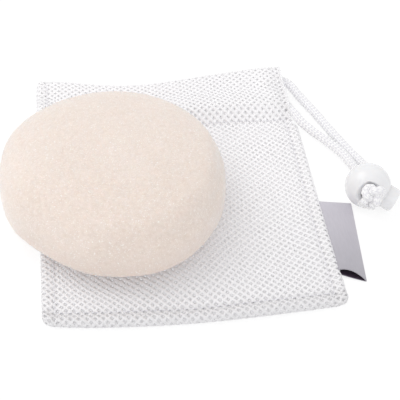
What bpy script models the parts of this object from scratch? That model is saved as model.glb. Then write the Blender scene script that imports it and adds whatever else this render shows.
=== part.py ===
import math

import bmesh
import bpy
from mathutils import Matrix, Vector

# A thick round puff sponge lying on the mesh drawstring pouch that it is kept in.
# Lengths are metres and +Z is up. The origin is the middle of the pouch on the table,
# and +Y runs from there to the pouch's mouth.

# Pouch
POUCH_WIDTH = 0.110
POUCH_LENGTH = 0.134
FABRIC = 0.0008  # one layer of mesh or hem
SEAT = 0.0003  # gap between pieces that touch
LOFT = 0.0014  # air between the two mesh panels
NET_PITCH = 0.0080  # distance between parallel strands of the net
NET_STRAND = 0.0024
SEAM_WIDTH = 0.0035
SEAM_HEIGHT = 0.0038
SEAM_ROUNDING = 0.0009
SEAM_CORNER = 0.0026  # plan radius at the near corners
HEM_WIDTH = 0.0045
HEM_HEIGHT = 0.0040
EXIT_SLIT = 0.0052  # where the right seam stops short of the casings
MOUTH_SAG = 0.0070  # how far the mouth is drawn towards the middle
MOUTH_SLANT = 0.0015
HEM_BULGE = 0.0039

# Casings and cord
CASING_DEPTH = 0.0320
CASING_SLIT = 0.0003  # air inside a casing where the cord doesn't fill it
CASING_NEAR_RAMP = 0.0070
CORD_DIAMETER = 0.0038
CORD_GRIPPED = 0.0032  # diameter where the lock squeezes it
CORD_ROOM = 0.00035  # air round the cord in its channel
CORD_SPREAD = 0.0168  # between the two runs in the casings
CORD_FAR_INSET = 0.0042  # far run, from the pouch's far edge
STRAND_START = 0.0053  # how deep in the casings the free strands begin

# Side label
LABEL_REACH = 0.0119
LABEL_LENGTH = 0.0385
LABEL_Y = -0.0335
LABEL_SHEET = 0.00035
LABEL_GAPE = 0.0010
LABEL_FAR_SLANT = 0.0008
LABEL_NEAR_SLANT = 0.0040

# Ball lock
BALL_DIAMETER = 0.0180
LOCK_OUT = 0.0188  # ball's centre from the pouch's right edge
LOCK_Y = -0.0140
LOCK_TURN = math.radians(-26.0)
LOCK_DIP = math.radians(21.0)
LOCK_ROLL = math.radians(23.0)
BUTTON_DIAMETER = 0.0096
BUTTON_REACH = 0.0121  # button's end from the ball's centre
BUTTON_CHAMFER = 0.0005
BUTTON_FIT = 0.0002
COLLAR_STEP = 0.0004
COLLAR_THICKNESS = 0.0009
CHAMBER_FLOOR = 0.0058  # below the ball's centre, on the button's axis
PRESS_TRAVEL = 0.0022
HOLE_HEIGHT = 0.0060
HOLE_WIDTH = 0.0072
HOLE_CORNER = 0.0018
HOLE_SHIFT = 0.0014  # hole's centre from the ball's, on the button's axis
HOLE_FLARE = 0.0012
FLARE_DEPTH = 0.0034
SPRING_WIRE = 0.0005
SPRING_DIAMETER = 0.0058
SPRING_TURNS = 3.5

# Knot of the two cord ends
KNOT_OUT = 0.0112  # its middle, from the ball's centre along the hole
KNOT_SIZE = (0.0064, 0.0100, 0.0072)
KNOT_SHIFT = 0.0030
KNOT_TAIL_SIZE = (0.0052, 0.0084, 0.0048)
KNOT_TAIL_SHIFT = -0.0010
TAIL_END = 0.0073  # strands end here, from the ball's centre along the hole

# Sponge
SPONGE_X = -0.0246
SPONGE_Y = -0.0098
SPONGE_RADIUS = 0.0439
SPONGE_HEIGHT = 0.0310
SPONGE_WAIST = 0.0100  # height of the widest girth
CROWN_POWER = 3.0
BELLY_POWER = 2.8

# How far a cutter runs past what it cuts
OVERRUN = 0.0020
WELD = 0.000001

# Heights that follow from the layers
HALF_WIDTH = POUCH_WIDTH / 2
HALF_LENGTH = POUCH_LENGTH / 2
PANEL_EDGE = HALF_WIDTH - SEAM_WIDTH - SEAT
CASING_NEAR = HALF_LENGTH - CASING_DEPTH
FRONT_FLOOR = FABRIC + LOFT
CHANNEL = CORD_DIAMETER + 2 * CORD_ROOM
FLAT_CASING = 2 * FABRIC + CASING_SLIT
CASING_SWELL = CHANNEL - CASING_SLIT
CASING_TOP = 2 * FLAT_CASING + SEAT + CASING_SWELL
FAR_RUN = HALF_LENGTH - CORD_FAR_INSET
NEAR_RUN = FAR_RUN - CORD_SPREAD
BALL_RADIUS = BALL_DIAMETER / 2

# Shapes given as shares of the size that they follow
MOUTH_SAG_OFFSET_SHARE = 0.15
HEM_BULGE_POWER_SHARE = 0.8
CASING_OUTER_SHARE = 0.25
CASING_INNER_SHARE = 0.15
LABEL_NARROWING_SHARE = 0.24
SPONGE_PLAN_SHARES = ((2, -0.025, -0.018), (3, -0.010, 0.019))


def clear_scene():
    for obj in list(bpy.data.objects):
        bpy.data.objects.remove(obj, do_unlink=True)


def make_collection(name):
    collection = bpy.data.collections.new(name)
    bpy.context.scene.collection.children.link(collection)
    return collection


def make_material(name, colour, roughness, metallic):
    material = bpy.data.materials.new(name)
    material.use_nodes = True
    shader = next(n for n in material.node_tree.nodes if n.type == "BSDF_PRINCIPLED")
    shader.inputs["Base Color"].default_value = (*colour, 1.0)
    shader.inputs["Roughness"].default_value = roughness
    shader.inputs["Metallic"].default_value = metallic
    material.diffuse_color = (*colour, 1.0)
    return material


def place(name, data, look, location=(0, 0, 0), parent=None):
    obj = bpy.data.objects.new(name, data)
    parts.objects.link(obj)
    obj.location = location
    obj.parent = parent
    data.materials.append(make_material(name + "_material", *look))
    return obj


def place_cutter(name, data, parent=None):
    obj = bpy.data.objects.new(name, data)
    cutters.objects.link(obj)
    obj.parent = parent
    obj.hide_render = True
    obj.display_type = "WIRE"
    return obj


def as_mesh(bm, name):
    mesh = bpy.data.meshes.new(name)
    bm.to_mesh(mesh)
    bm.free()
    mesh.shade_smooth()
    mesh.set_sharp_from_angle(angle=math.radians(40))
    return mesh


def evaluated_mesh(obj):
    depsgraph = bpy.context.evaluated_depsgraph_get()
    depsgraph.update()
    return bpy.data.meshes.new_from_object(obj.evaluated_get(depsgraph))


def boolean(obj, tool, operation="DIFFERENCE"):
    modifier = obj.modifiers.new(tool.name, "BOOLEAN")
    modifier.operation = operation
    modifier.solver = "EXACT"
    modifier.object = tool


def smoothstep(start, end, value):
    share = min(max((value - start) / (end - start), 0.0), 1.0)
    return share * share * (3 - 2 * share)


def drape(x, y):
    # The empty mouth sags towards the middle and the near hem bows outwards.
    side = min(max(x / HALF_WIDTH, -1.0), 1.0)
    share = min(abs(y) / HALF_LENGTH, 1.0) ** 2
    if y > 0:
        sag = math.cos(math.pi / 2 * (side + MOUTH_SAG_OFFSET_SHARE)) ** 2
        return y + share * (MOUTH_SLANT * side - MOUTH_SAG * sag)
    return y - share * HEM_BULGE * (1 - side * side) ** HEM_BULGE_POWER_SHARE


def lay_down(mesh, location=(0, 0, 0)):
    for vertex in mesh.vertices:
        x = location[0] + vertex.co.x
        vertex.co.y = drape(x, location[1] + vertex.co.y) - location[1]


def slice_across(bm, axis, stations):
    # Adds a ring of edges at each station, for the drape to bend.
    for station in stations:
        bmesh.ops.bisect_plane(
            bm, geom=bm.verts[:] + bm.edges[:] + bm.faces[:],
            plane_co=axis * station, plane_no=axis, dist=WELD,
        )


def spread(start, end, count):
    return [start + (end - start) * k / count for k in range(1, count)]


def outline_solid(loops, depth):
    # A flat outline with its holes, filled and drawn out evenly to both sides of z = 0.
    curve = bpy.data.curves.new("outline", "CURVE")
    curve.dimensions = "2D"
    curve.fill_mode = "BOTH"
    curve.extrude = depth / 2
    for loop in loops:
        spline = curve.splines.new("POLY")
        spline.points.add(len(loop) - 1)
        for point, (x, y) in zip(spline.points, loop):
            point.co = (x, y, 0, 1)
        spline.use_cyclic_u = True
    guide = bpy.data.objects.new("outline", curve)
    cutters.objects.link(guide)
    mesh = evaluated_mesh(guide)
    bpy.data.objects.remove(guide)
    bm = bmesh.new()
    bm.from_mesh(mesh)
    bpy.data.meshes.remove(mesh)
    bmesh.ops.remove_doubles(bm, verts=bm.verts, dist=WELD)
    if len(loops) == 1:
        bmesh.ops.dissolve_limit(
            bm, angle_limit=math.radians(1), verts=bm.verts, edges=bm.edges
        )
    bmesh.ops.recalc_face_normals(bm, faces=bm.faces)
    return bm


def rounded_outline(left, right, near, far, corners, steps=4):
    # Corner radii are given near left, near right, far right and far left.
    points = []
    spots = ((left, near), (right, near), (right, far), (left, far))
    for k, ((x, y), radius) in enumerate(zip(spots, corners)):
        centre_x = x + radius if k in (0, 3) else x - radius
        centre_y = y + radius if k in (0, 1) else y - radius
        for step in range(steps + 1):
            turn = math.pi + (k + step / steps) * math.pi / 2
            points.append((
                centre_x + radius * math.cos(turn),
                centre_y + radius * math.sin(turn),
            ))
    return points


def seam_bar(outline, height, along, stations):
    # A stitched edge: a flat outline with its upper and lower rims rounded.
    bm = outline_solid([outline], height)
    rims = [e for e in bm.edges if abs(e.verts[0].co.z - e.verts[1].co.z) < WELD]
    bmesh.ops.bevel(
        bm, geom=rims, offset=SEAM_ROUNDING, offset_type="OFFSET",
        segments=2, profile=0.5, affect="EDGES", clamp_overlap=True,
    )
    slice_across(bm, along, stations)
    return bm


def make_panel(name, floor, near, look):
    # A net turned by 45 degrees, with a crossing at the origin. Gaps that the
    # panel's edge would cut stay closed, which gives it a whole border.
    reach = math.hypot(PANEL_EDGE, HALF_LENGTH) + NET_PITCH
    count = math.ceil(reach / NET_PITCH)
    lines = 2 * (2 * count + 1)
    bm = bmesh.new()
    bmesh.ops.create_grid(bm, x_segments=lines - 1, y_segments=lines - 1, size=1.0)
    turned = Matrix.Rotation(math.radians(45), 4, "Z")
    place_of = {}
    for vertex in bm.verts:
        spot = []
        for value in (vertex.co.x, vertex.co.y):
            line = round((value + 1) / 2 * (lines - 1))
            edge = NET_STRAND / 2 if line % 2 else -NET_STRAND / 2
            spot.append((line // 2 - count) * NET_PITCH + edge)
        place_of[vertex] = turned @ Vector((spot[0], spot[1], 0))
    for vertex, spot in place_of.items():
        vertex.co = spot
    far = CASING_NEAR - SEAT
    border = NET_STRAND / 2
    gaps = []
    for face in bm.faces:
        wide = face.calc_area() > (NET_PITCH - NET_STRAND) ** 2 * 0.9
        inside = all(
            abs(v.co.x) < PANEL_EDGE - border and near + border < v.co.y < far - border
            for v in face.verts
        )
        if wide and inside:
            gaps.append(face)
    print(name, "has", len(gaps), "gaps")
    bmesh.ops.delete(bm, geom=gaps, context="FACES")
    for spot, normal in (
        ((PANEL_EDGE, 0, 0), (1, 0, 0)), ((-PANEL_EDGE, 0, 0), (-1, 0, 0)),
        ((0, far, 0), (0, 1, 0)), ((0, near, 0), (0, -1, 0)),
    ):
        bmesh.ops.bisect_plane(
            bm, geom=bm.verts[:] + bm.edges[:] + bm.faces[:], dist=WELD,
            plane_co=spot, plane_no=normal, clear_outer=True,
        )
    bmesh.ops.dissolve_degenerate(bm, dist=WELD, edges=bm.edges)
    mesh = as_mesh(bm, name)
    lay_down(mesh)
    panel = place(name, mesh, look, (0, 0, floor))
    layer = panel.modifiers.new("layer", "SOLIDIFY")
    layer.thickness = FABRIC
    layer.offset = 1.0
    return panel


def make_side_seam(name, side, far, look):
    inner = HALF_WIDTH - SEAM_WIDTH
    left, right = (inner, HALF_WIDTH) if side > 0 else (-HALF_WIDTH, -inner)
    small = SEAM_ROUNDING
    corners = (small, SEAM_CORNER, small, small)
    if side < 0:
        corners = (SEAM_CORNER, small, small, small)
    outline = rounded_outline(left, right, -HALF_LENGTH, far, corners)
    bm = seam_bar(outline, SEAM_HEIGHT, Vector((0, 1, 0)), spread(-HALF_LENGTH, far, 14))
    for vertex in bm.verts:
        # Beside the casings the seam is as tall as they are.
        rise = smoothstep(CASING_NEAR - SEAM_WIDTH, CASING_NEAR + SEAM_WIDTH, vertex.co.y)
        share = (vertex.co.z + SEAM_HEIGHT / 2) / SEAM_HEIGHT
        height = SEAM_HEIGHT + (CASING_TOP - SEAM_HEIGHT) * rise
        vertex.co.z = share * height
    mesh = as_mesh(bm, name)
    lay_down(mesh)
    return place(name, mesh, look)


def make_hem(look):
    near = -HALF_LENGTH
    small = SEAM_ROUNDING
    outline = rounded_outline(
        -PANEL_EDGE, PANEL_EDGE, near, near + HEM_WIDTH, (small, small, small, small)
    )
    bm = seam_bar(outline, HEM_HEIGHT, Vector((1, 0, 0)), spread(-PANEL_EDGE, PANEL_EDGE, 14))
    mesh = as_mesh(bm, "bottom_seam")
    lay_down(mesh)
    return place("bottom_seam", mesh, look, (0, 0, HEM_HEIGHT / 2))


def back_ceiling(y):
    start = NEAR_RUN + CORD_DIAMETER
    end = FAR_RUN - CORD_DIAMETER
    return FLAT_CASING + CASING_SWELL * smoothstep(start, end, y)


def front_floor(y):
    return back_ceiling(y) + SEAT


def front_ceiling(y):
    near = smoothstep(CASING_NEAR, CASING_NEAR + CASING_NEAR_RAMP, y)
    return front_floor(y) + FLAT_CASING + CASING_SWELL * near - (back_ceiling(y) - FLAT_CASING)


def casing_loop(floor, ceiling, wall, swell_share, points=28):
    # Points of a flattened tube's section: out along the top and back underneath.
    near = CASING_NEAR + wall
    far = HALF_LENGTH - wall
    loop = []
    for k in range(points):
        turn = 2 * math.pi * k / points
        y = near + (far - near) * (1 - math.cos(turn)) / 2
        low = floor(y) + wall
        high = ceiling(y) - wall
        fullness = abs(math.sin(turn)) ** swell_share
        half = (high - low) / 2 * fullness
        loop.append((y, (low + high) / 2 + math.copysign(half, math.sin(turn))))
    return loop


def make_casing(name, floor, ceiling, window, look):
    outer = casing_loop(floor, ceiling, 0, CASING_OUTER_SHARE)
    inner = casing_loop(floor, ceiling, FABRIC, CASING_INNER_SHARE)
    length = 2 * PANEL_EDGE
    bm = outline_solid([outer, inner], length)
    # The section is drawn in x and y, and stands up as y and z.
    bmesh.ops.transform(
        bm, verts=bm.verts, matrix=Matrix(((0, 0, 1, 0), (1, 0, 0, 0), (0, 1, 0, 0), (0, 0, 0, 1)))
    )
    slice_across(bm, Vector((1, 0, 0)), spread(-PANEL_EDGE, PANEL_EDGE, 8))
    casing = place(name, as_mesh(bm, name), look)
    boolean(casing, window)
    mesh = evaluated_mesh(casing)
    casing.modifiers.clear()
    casing.data = mesh
    lay_down(mesh)
    return casing


def make_turn_window():
    # At the left end the cord turns back from one casing to the other.
    left = -PANEL_EDGE - OVERRUN
    right = cord_turn_centre() + CORD_DIAMETER / 2
    near = NEAR_RUN - CORD_DIAMETER / 2 - SEAT
    far = FAR_RUN + CORD_DIAMETER / 2 + SEAT
    low = FABRIC + CASING_SLIT / 2
    high = CASING_TOP - FABRIC - CASING_SLIT / 2
    bm = bmesh.new()
    bmesh.ops.create_cube(bm, size=1.0)
    bmesh.ops.scale(bm, vec=(right - left, far - near, high - low), verts=bm.verts)
    middle = Vector((right + left, far + near, high + low)) / 2
    bmesh.ops.translate(bm, vec=middle, verts=bm.verts)
    return place_cutter("turn_window", as_mesh(bm, "turn_window"))


def make_label(look):
    # A folded tab: two layers that meet at the fold and at the seam.
    root = HALF_WIDTH + SEAT
    loops = []
    for wall, share in ((0, 0.5), (LABEL_SHEET, 0.7)):
        loop = []
        for k in range(20):
            turn = 2 * math.pi * k / 20
            x = root + wall + (LABEL_REACH - 2 * wall) * (1 - math.cos(turn)) / 2
            half = LABEL_GAPE / 2 + LABEL_SHEET - wall
            z = half * math.copysign(abs(math.sin(turn)) ** share, math.sin(turn))
            loop.append((x, z))
        loops.append(loop)
    bm = outline_solid(loops, LABEL_LENGTH)
    # The section is drawn in x and y, and stands up as x and z.
    bmesh.ops.rotate(bm, verts=bm.verts, cent=(0, 0, 0), matrix=Matrix.Rotation(math.pi / 2, 3, "X"))
    slice_across(bm, Vector((0, 1, 0)), spread(-LABEL_LENGTH / 2, LABEL_LENGTH / 2, 4))
    for vertex in bm.verts:
        out = (vertex.co.x - root) / LABEL_REACH
        down = (LABEL_LENGTH / 2 - vertex.co.y) / LABEL_LENGTH
        vertex.co.x = root + LABEL_REACH * out * (1 - LABEL_NARROWING_SHARE * down)
        vertex.co.y -= out * (LABEL_FAR_SLANT * (1 - down) + LABEL_NEAR_SLANT * down)
    height = SEAT + LABEL_GAPE / 2 + LABEL_SHEET
    return place("label_tab", as_mesh(bm, "label_tab"), look, (0, LABEL_Y, height))


def lock_matrix():
    # Local Z is the button's axis, local X runs along the cord hole to the knot.
    axis = Vector((
        math.cos(LOCK_TURN) * math.cos(LOCK_DIP),
        math.sin(LOCK_TURN) * math.cos(LOCK_DIP),
        -math.sin(LOCK_DIP),
    ))
    level = Vector((math.sin(LOCK_TURN), -math.cos(LOCK_TURN), 0))
    hole = math.cos(LOCK_ROLL) * level + math.sin(LOCK_ROLL) * level.cross(axis)
    across = axis.cross(hole)
    matrix = Matrix((hole, across, axis)).transposed().to_4x4()
    matrix.translation = (HALF_WIDTH + LOCK_OUT, LOCK_Y, BALL_RADIUS)
    return matrix


def turned(name, profile, steps, look, parent):
    # The profile stands in the XZ plane at +X and is turned about Z.
    mesh = bpy.data.meshes.new(name)
    bm = bmesh.new()
    points = [bm.verts.new((x, 0, z)) for x, z in profile]
    for a, b in zip(points, points[1:]):
        bm.edges.new((a, b))
    bm.to_mesh(mesh)
    bm.free()
    obj = place(name, mesh, look, parent=parent)
    screw = obj.modifiers.new("turning", "SCREW")
    screw.axis = "Z"
    screw.steps = steps
    screw.render_steps = steps
    screw.use_merge_vertices = True
    screw.merge_threshold = WELD
    screw.use_smooth_shade = True
    return obj


def hole_cutter(name, length, shift, flare, parent):
    # A rounded slot along local X, centred at a height on the button's axis.
    half_width, half_height = HOLE_WIDTH / 2, HOLE_HEIGHT / 2
    corners = (HOLE_CORNER, HOLE_CORNER, HOLE_CORNER, HOLE_CORNER)
    outline = rounded_outline(-half_width, half_width, -half_height, half_height, corners, 3)
    bm = outline_solid([outline], length)
    bmesh.ops.transform(
        bm, verts=bm.verts, matrix=Matrix(((0, 0, 1, 0), (1, 0, 0, 0), (0, 1, 0, 0), (0, 0, 0, 1)))
    )
    start = BALL_RADIUS - FLARE_DEPTH
    if flare:
        stations = [start + FLARE_DEPTH * share for share in (0, 1 / 3, 2 / 3, 1)]
        slice_across(bm, Vector((1, 0, 0)), stations + [-station for station in stations])
    for vertex in bm.verts:
        out = max((abs(vertex.co.x) - start) / FLARE_DEPTH, 0.0)
        growth = flare * out * out
        vertex.co.y *= 1 + growth / half_width
        vertex.co.z *= 1 + growth / half_height
    bmesh.ops.translate(bm, vec=(0, 0, shift), verts=bm.verts)
    return place_cutter(name, as_mesh(bm, name), parent)


def make_lock(look_body, look_button, look_spring):
    frame = bpy.data.objects.new("lock_frame", None)
    parts.objects.link(frame)
    frame.matrix_world = lock_matrix()

    shaft = BUTTON_DIAMETER / 2
    lip = shaft + BUTTON_FIT
    collar = shaft + COLLAR_STEP
    chamber = collar + BUTTON_FIT
    slot_shift = HOLE_SHIFT + PRESS_TRAVEL
    ledge = slot_shift - HOLE_HEIGHT / 2
    collar_top = ledge - SEAT
    collar_floor = collar_top - COLLAR_THICKNESS

    # Ball: up the chamber and the lip, then down the outside to the far pole.
    first = math.asin((lip + BUTTON_CHAMFER / 2) / BALL_RADIUS)
    profile = [(0, -CHAMBER_FLOOR), (chamber, -CHAMBER_FLOOR), (chamber, ledge), (lip, ledge)]
    profile.append((lip, BALL_RADIUS * math.cos(first) - BUTTON_CHAMFER / 2))
    arcs = 16
    for k in range(arcs + 1):
        turn = first + (math.pi - first) * k / arcs
        x = BALL_RADIUS * math.sin(turn) if k < arcs else 0
        profile.append((x, BALL_RADIUS * math.cos(turn)))
    body = turned("lock_body", profile, 32, look_body, frame)
    boolean(body, hole_cutter("cord_hole", BALL_DIAMETER + OVERRUN, HOLE_SHIFT, HOLE_FLARE, frame))

    # Button: its end, its shaft and the collar that the lip holds back.
    profile = [
        (0, BUTTON_REACH), (shaft - BUTTON_CHAMFER, BUTTON_REACH),
        (shaft, BUTTON_REACH - BUTTON_CHAMFER), (shaft, collar_top),
        (collar, collar_top), (collar, collar_floor), (0, collar_floor),
    ]
    button = turned("lock_plunger", profile, 32, look_button, frame)
    boolean(button, hole_cutter("button_slot", BUTTON_DIAMETER + OVERRUN, slot_shift, 0, frame))

    # Spring: an open coil between the chamber's floor and the button.
    low = -CHAMBER_FLOOR + SEAT + SPRING_WIRE / 2
    high = collar_floor - SEAT - SPRING_WIRE / 2
    count = round(SPRING_TURNS * 10)
    coil = []
    for k in range(count + 1):
        turn = 2 * math.pi * SPRING_TURNS * k / count
        coil.append(Vector((
            SPRING_DIAMETER / 2 * math.cos(turn),
            SPRING_DIAMETER / 2 * math.sin(turn),
            low + (high - low) * k / count,
        )))
    gap = min(
        (a - b).length - SPRING_WIRE
        for i, a in enumerate(coil) for j, b in enumerate(coil) if j - i > 5
    )
    print("lock_spring: least gap between turns", round(gap * 1000, 2), "mm")
    make_tube("lock_spring", coil, SPRING_WIRE, 1, look_spring, parent=frame)
    return frame


def make_tube(name, points, diameter, resolution, look, widths=None, parent=None):
    curve = bpy.data.curves.new(name, "CURVE")
    curve.dimensions = "3D"
    curve.bevel_depth = diameter / 2
    curve.bevel_resolution = resolution
    curve.use_fill_caps = True
    spline = curve.splines.new("POLY")
    spline.points.add(len(points) - 1)
    start = Vector((0, 0, 0)) if parent else Vector(points[0])
    for k, point in enumerate(points):
        spline.points[k].co = (*(Vector(point) - start), 1)
        spline.points[k].radius = widths[k] if widths else 1.0
    spline.use_smooth = True
    return place(name, curve, look, start, parent)


def cord_turn_centre():
    return -PANEL_EDGE + SEAT + CORD_DIAMETER / 2 + CORD_SPREAD / 2


def smooth_route(points, steps=24):
    # A smooth curve through the points, its ends led by their own neighbours.
    knots = [Vector(p) for p in points]
    knots = [2 * knots[0] - knots[1]] + knots + [2 * knots[-1] - knots[-2]]
    route = []
    for a, b, c, d in zip(knots, knots[1:], knots[2:], knots[3:]):
        for k in range(steps):
            t = k / steps
            route.append(0.5 * (
                2 * b + (c - a) * t + (2 * a - 5 * b + 4 * c - d) * t * t
                + (3 * b - a - 3 * c + d) * t * t * t
            ))
    route.append(knots[-2])
    return route


def trim_route(route, start, end):
    # The stretch between two distances along the route.
    piece = []
    travelled = 0.0
    for a, b in zip(route, route[1:]):
        step = (b - a).length
        if travelled <= start < travelled + step:
            piece.append(a.lerp(b, (start - travelled) / step))
        if start < travelled + step and travelled + step < end:
            piece.append(b)
        if travelled < end <= travelled + step:
            piece.append(a.lerp(b, (end - travelled) / step))
        travelled += step
    return piece


def route_length(route):
    return sum((b - a).length for a, b in zip(route, route[1:]))


def thin_route(route, stride, bend):
    # Keeps a point after each stride, or sooner where the route bends.
    kept = [route[0]]
    travelled = 0.0
    heading = (route[1] - route[0]).normalized()
    for a, b in zip(route, route[1:]):
        travelled += (b - a).length
        turn = heading.angle((b - a).normalized(), 0.0)
        if travelled >= stride or (turn >= bend and travelled >= stride / 4):
            kept.append(b)
            travelled = 0.0
            heading = (b - a).normalized()
    if (kept[-1] - route[-1]).length < stride / 3:
        kept.pop()
    kept.append(route[-1])
    return kept


def make_cord(lock_frame, look):
    # One cord: from the knot through the lock and the back casing, round the left
    # end, and back through the front casing and the lock to the knot.
    lock = lock_frame.matrix_world
    line = HOLE_SHIFT + PRESS_TRAVEL / 2
    aside = CORD_GRIPPED / 2 + SEAT / 2
    edge = HALF_WIDTH
    back_height = FABRIC + CHANNEL / 2
    front_height = FLAT_CASING + SEAT + FABRIC + CHANNEL / 2

    def in_lock(out, across, shift=0.0):
        return lock @ Vector((out, across, line + shift))

    # Free points are given from the pouch's right edge, in the order of the route.
    far_strand = [
        in_lock(TAIL_END, -aside), in_lock(0.0035, -aside), in_lock(-0.0005, -aside),
        in_lock(-0.0045, -aside), in_lock(-0.0080, -aside, -0.0006),
        Vector((edge + 0.0231, 0.0005, 0.0046)), Vector((edge + 0.0217, 0.0070, 0.0024)),
        Vector((edge + 0.0176, 0.0172, 0.0021)), Vector((edge + 0.0134, 0.0285, 0.0021)),
        Vector((edge + 0.0093, 0.0402, 0.0022)), Vector((edge + 0.0050, 0.0508, 0.0025)),
        Vector((edge + 0.0030, 0.0562, 0.0028)), Vector((edge + 0.0008, 0.0607, 0.0030)),
        Vector((edge - 0.0030, 0.0633, back_height)), Vector((edge - 0.0075, 0.0640, back_height)),
    ]
    near_strand = [
        Vector((edge - 0.0052, 0.0440, front_height)), Vector((edge - 0.0012, 0.0388, 0.0050)),
        Vector((edge + 0.0016, 0.0325, 0.0043)), Vector((edge + 0.0061, 0.0256, 0.0036)),
        Vector((edge + 0.0113, 0.0191, 0.0030)), Vector((edge + 0.0153, 0.0120, 0.0030)),
        Vector((edge + 0.0175, 0.0050, 0.0031)), Vector((edge + 0.0196, -0.0016, 0.0034)),
        in_lock(-0.0080, aside, -0.0006), in_lock(-0.0045, aside),
        in_lock(-0.0005, aside), in_lock(0.0035, aside), in_lock(TAIL_END, aside),
    ]
    cased = []
    right_end = PANEL_EDGE - STRAND_START
    centre = cord_turn_centre()
    for x in spread(right_end, centre - CORD_DIAMETER, 7):
        cased.append(Vector((x, drape(x, FAR_RUN), back_height)))
    radius = CORD_SPREAD / 2
    middle = (FAR_RUN + NEAR_RUN) / 2
    for k in range(1, 6):
        turn = math.pi / 2 + math.pi * k / 6
        x = centre + radius * math.cos(turn)
        share = k / 6
        height = back_height + (front_height - back_height) * share
        cased.append(Vector((x, drape(x, middle + radius * math.sin(turn)), height)))
    for x in spread(centre - CORD_DIAMETER, right_end, 7):
        cased.append(Vector((x, drape(x, NEAR_RUN), front_height)))

    route = smooth_route(far_strand + cased + near_strand)
    total = route_length(route)
    marks = []
    travelled = 0.0
    for a, b in zip(route, route[1:]):
        if (a.x - right_end) * (b.x - right_end) <= 0 and a.y > CASING_NEAR:
            marks.append(travelled)
        travelled += (b - a).length
    first, last = marks[0], marks[-1]
    pieces = (
        ("strand_far", trim_route(route, 0.0, first - SEAT / 2)),
        ("cased_cord", trim_route(route, first + SEAT / 2, last - SEAT / 2)),
        ("strand_near", trim_route(route, last + SEAT / 2, total)),
    )
    ball = lock.translation
    for name, piece in pieces:
        points = thin_route(piece, 2 * CORD_DIAMETER, math.radians(9))
        if name == "strand_far":
            points.reverse()
        widths = []
        for point in points:
            away = (point - ball).length
            free = smoothstep(BALL_RADIUS, BALL_DIAMETER + CORD_DIAMETER, away)
            widths.append((CORD_GRIPPED + (CORD_DIAMETER - CORD_GRIPPED) * free) / CORD_DIAMETER)
        make_tube(name, points, CORD_DIAMETER, 2, look, widths)
        length = round(route_length(piece) * 1000, 1)
        print(name, "is", length, "mm long, with", len(points), "points")


def lobe(name, size, shift, segments, rings):
    bm = bmesh.new()
    bmesh.ops.create_uvsphere(bm, u_segments=segments, v_segments=rings, radius=0.5)
    bmesh.ops.scale(bm, vec=size, verts=bm.verts)
    bmesh.ops.translate(bm, vec=(KNOT_OUT, 0, shift), verts=bm.verts)
    return as_mesh(bm, name)


def make_knot(frame, look):
    knot = place("end_knot", lobe("end_knot", KNOT_SIZE, KNOT_SHIFT, 16, 10), look, parent=frame)
    tail = lobe("knot_tail", KNOT_TAIL_SIZE, KNOT_TAIL_SHIFT, 16, 10)
    boolean(knot, place_cutter("knot_tail", tail, frame), "UNION")
    return knot


def make_sponge(look):
    # A thick puck with a broad crown, a soft shoulder and a rounded underside.
    bm = bmesh.new()
    bmesh.ops.create_uvsphere(bm, u_segments=36, v_segments=18, radius=1.0)
    for vertex in bm.verts:
        around = math.atan2(vertex.co.y, vertex.co.x)
        slope = math.asin(min(max(vertex.co.z, -1.0), 1.0))
        power = CROWN_POWER if slope >= 0 else BELLY_POWER
        out = max(math.cos(slope), 0.0) ** (2 / power)
        up = abs(math.sin(slope)) ** (2 / power)
        plan = 1.0
        for order, cosine, sine in SPONGE_PLAN_SHARES:
            plan += cosine * math.cos(order * around) + sine * math.sin(order * around)
        radius = SPONGE_RADIUS * out * plan
        rise = (SPONGE_HEIGHT - SPONGE_WAIST) * up if slope >= 0 else -SPONGE_WAIST * up
        vertex.co = (radius * math.cos(around), radius * math.sin(around), SPONGE_WAIST + rise)
    base = FRONT_FLOOR + FABRIC + SEAT
    return place("sponge", as_mesh(bm, "sponge"), look, (SPONGE_X, SPONGE_Y, base))


WHITE_NET = ((0.86, 0.86, 0.90), 0.75, 0.0)
WHITE_CORD = ((0.87, 0.87, 0.89), 0.80, 0.0)
GLOSSY_WHITE = ((0.88, 0.88, 0.90), 0.25, 0.0)
GREY_SATIN = ((0.52, 0.50, 0.58), 0.45, 0.0)
SPRING_STEEL = ((0.55, 0.55, 0.56), 0.30, 1.0)
CREAM_SPONGE = ((0.87, 0.77, 0.69), 0.90, 0.0)

clear_scene()
parts = make_collection("bath_sponge")
cutters = make_collection("cutters")

make_panel("back_panel", 0, -HALF_LENGTH + HEM_WIDTH + SEAT, WHITE_NET)
make_panel("front_panel", FRONT_FLOOR, -HALF_LENGTH + HEM_WIDTH + SEAT, WHITE_NET)
make_side_seam("left_seam", -1, HALF_LENGTH, WHITE_NET)
make_side_seam("right_seam", 1, CASING_NEAR - EXIT_SLIT, WHITE_NET)
make_hem(WHITE_NET)
turn_window = make_turn_window()
make_casing("back_casing", lambda y: 0.0, back_ceiling, turn_window, WHITE_NET)
make_casing("front_casing", front_floor, front_ceiling, turn_window, WHITE_NET)
make_label(GREY_SATIN)
lock_frame = make_lock(GLOSSY_WHITE, GLOSSY_WHITE, SPRING_STEEL)
bpy.context.view_layer.update()
make_cord(lock_frame, WHITE_CORD)
make_knot(lock_frame, WHITE_CORD)
make_sponge(CREAM_SPONGE)
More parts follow.
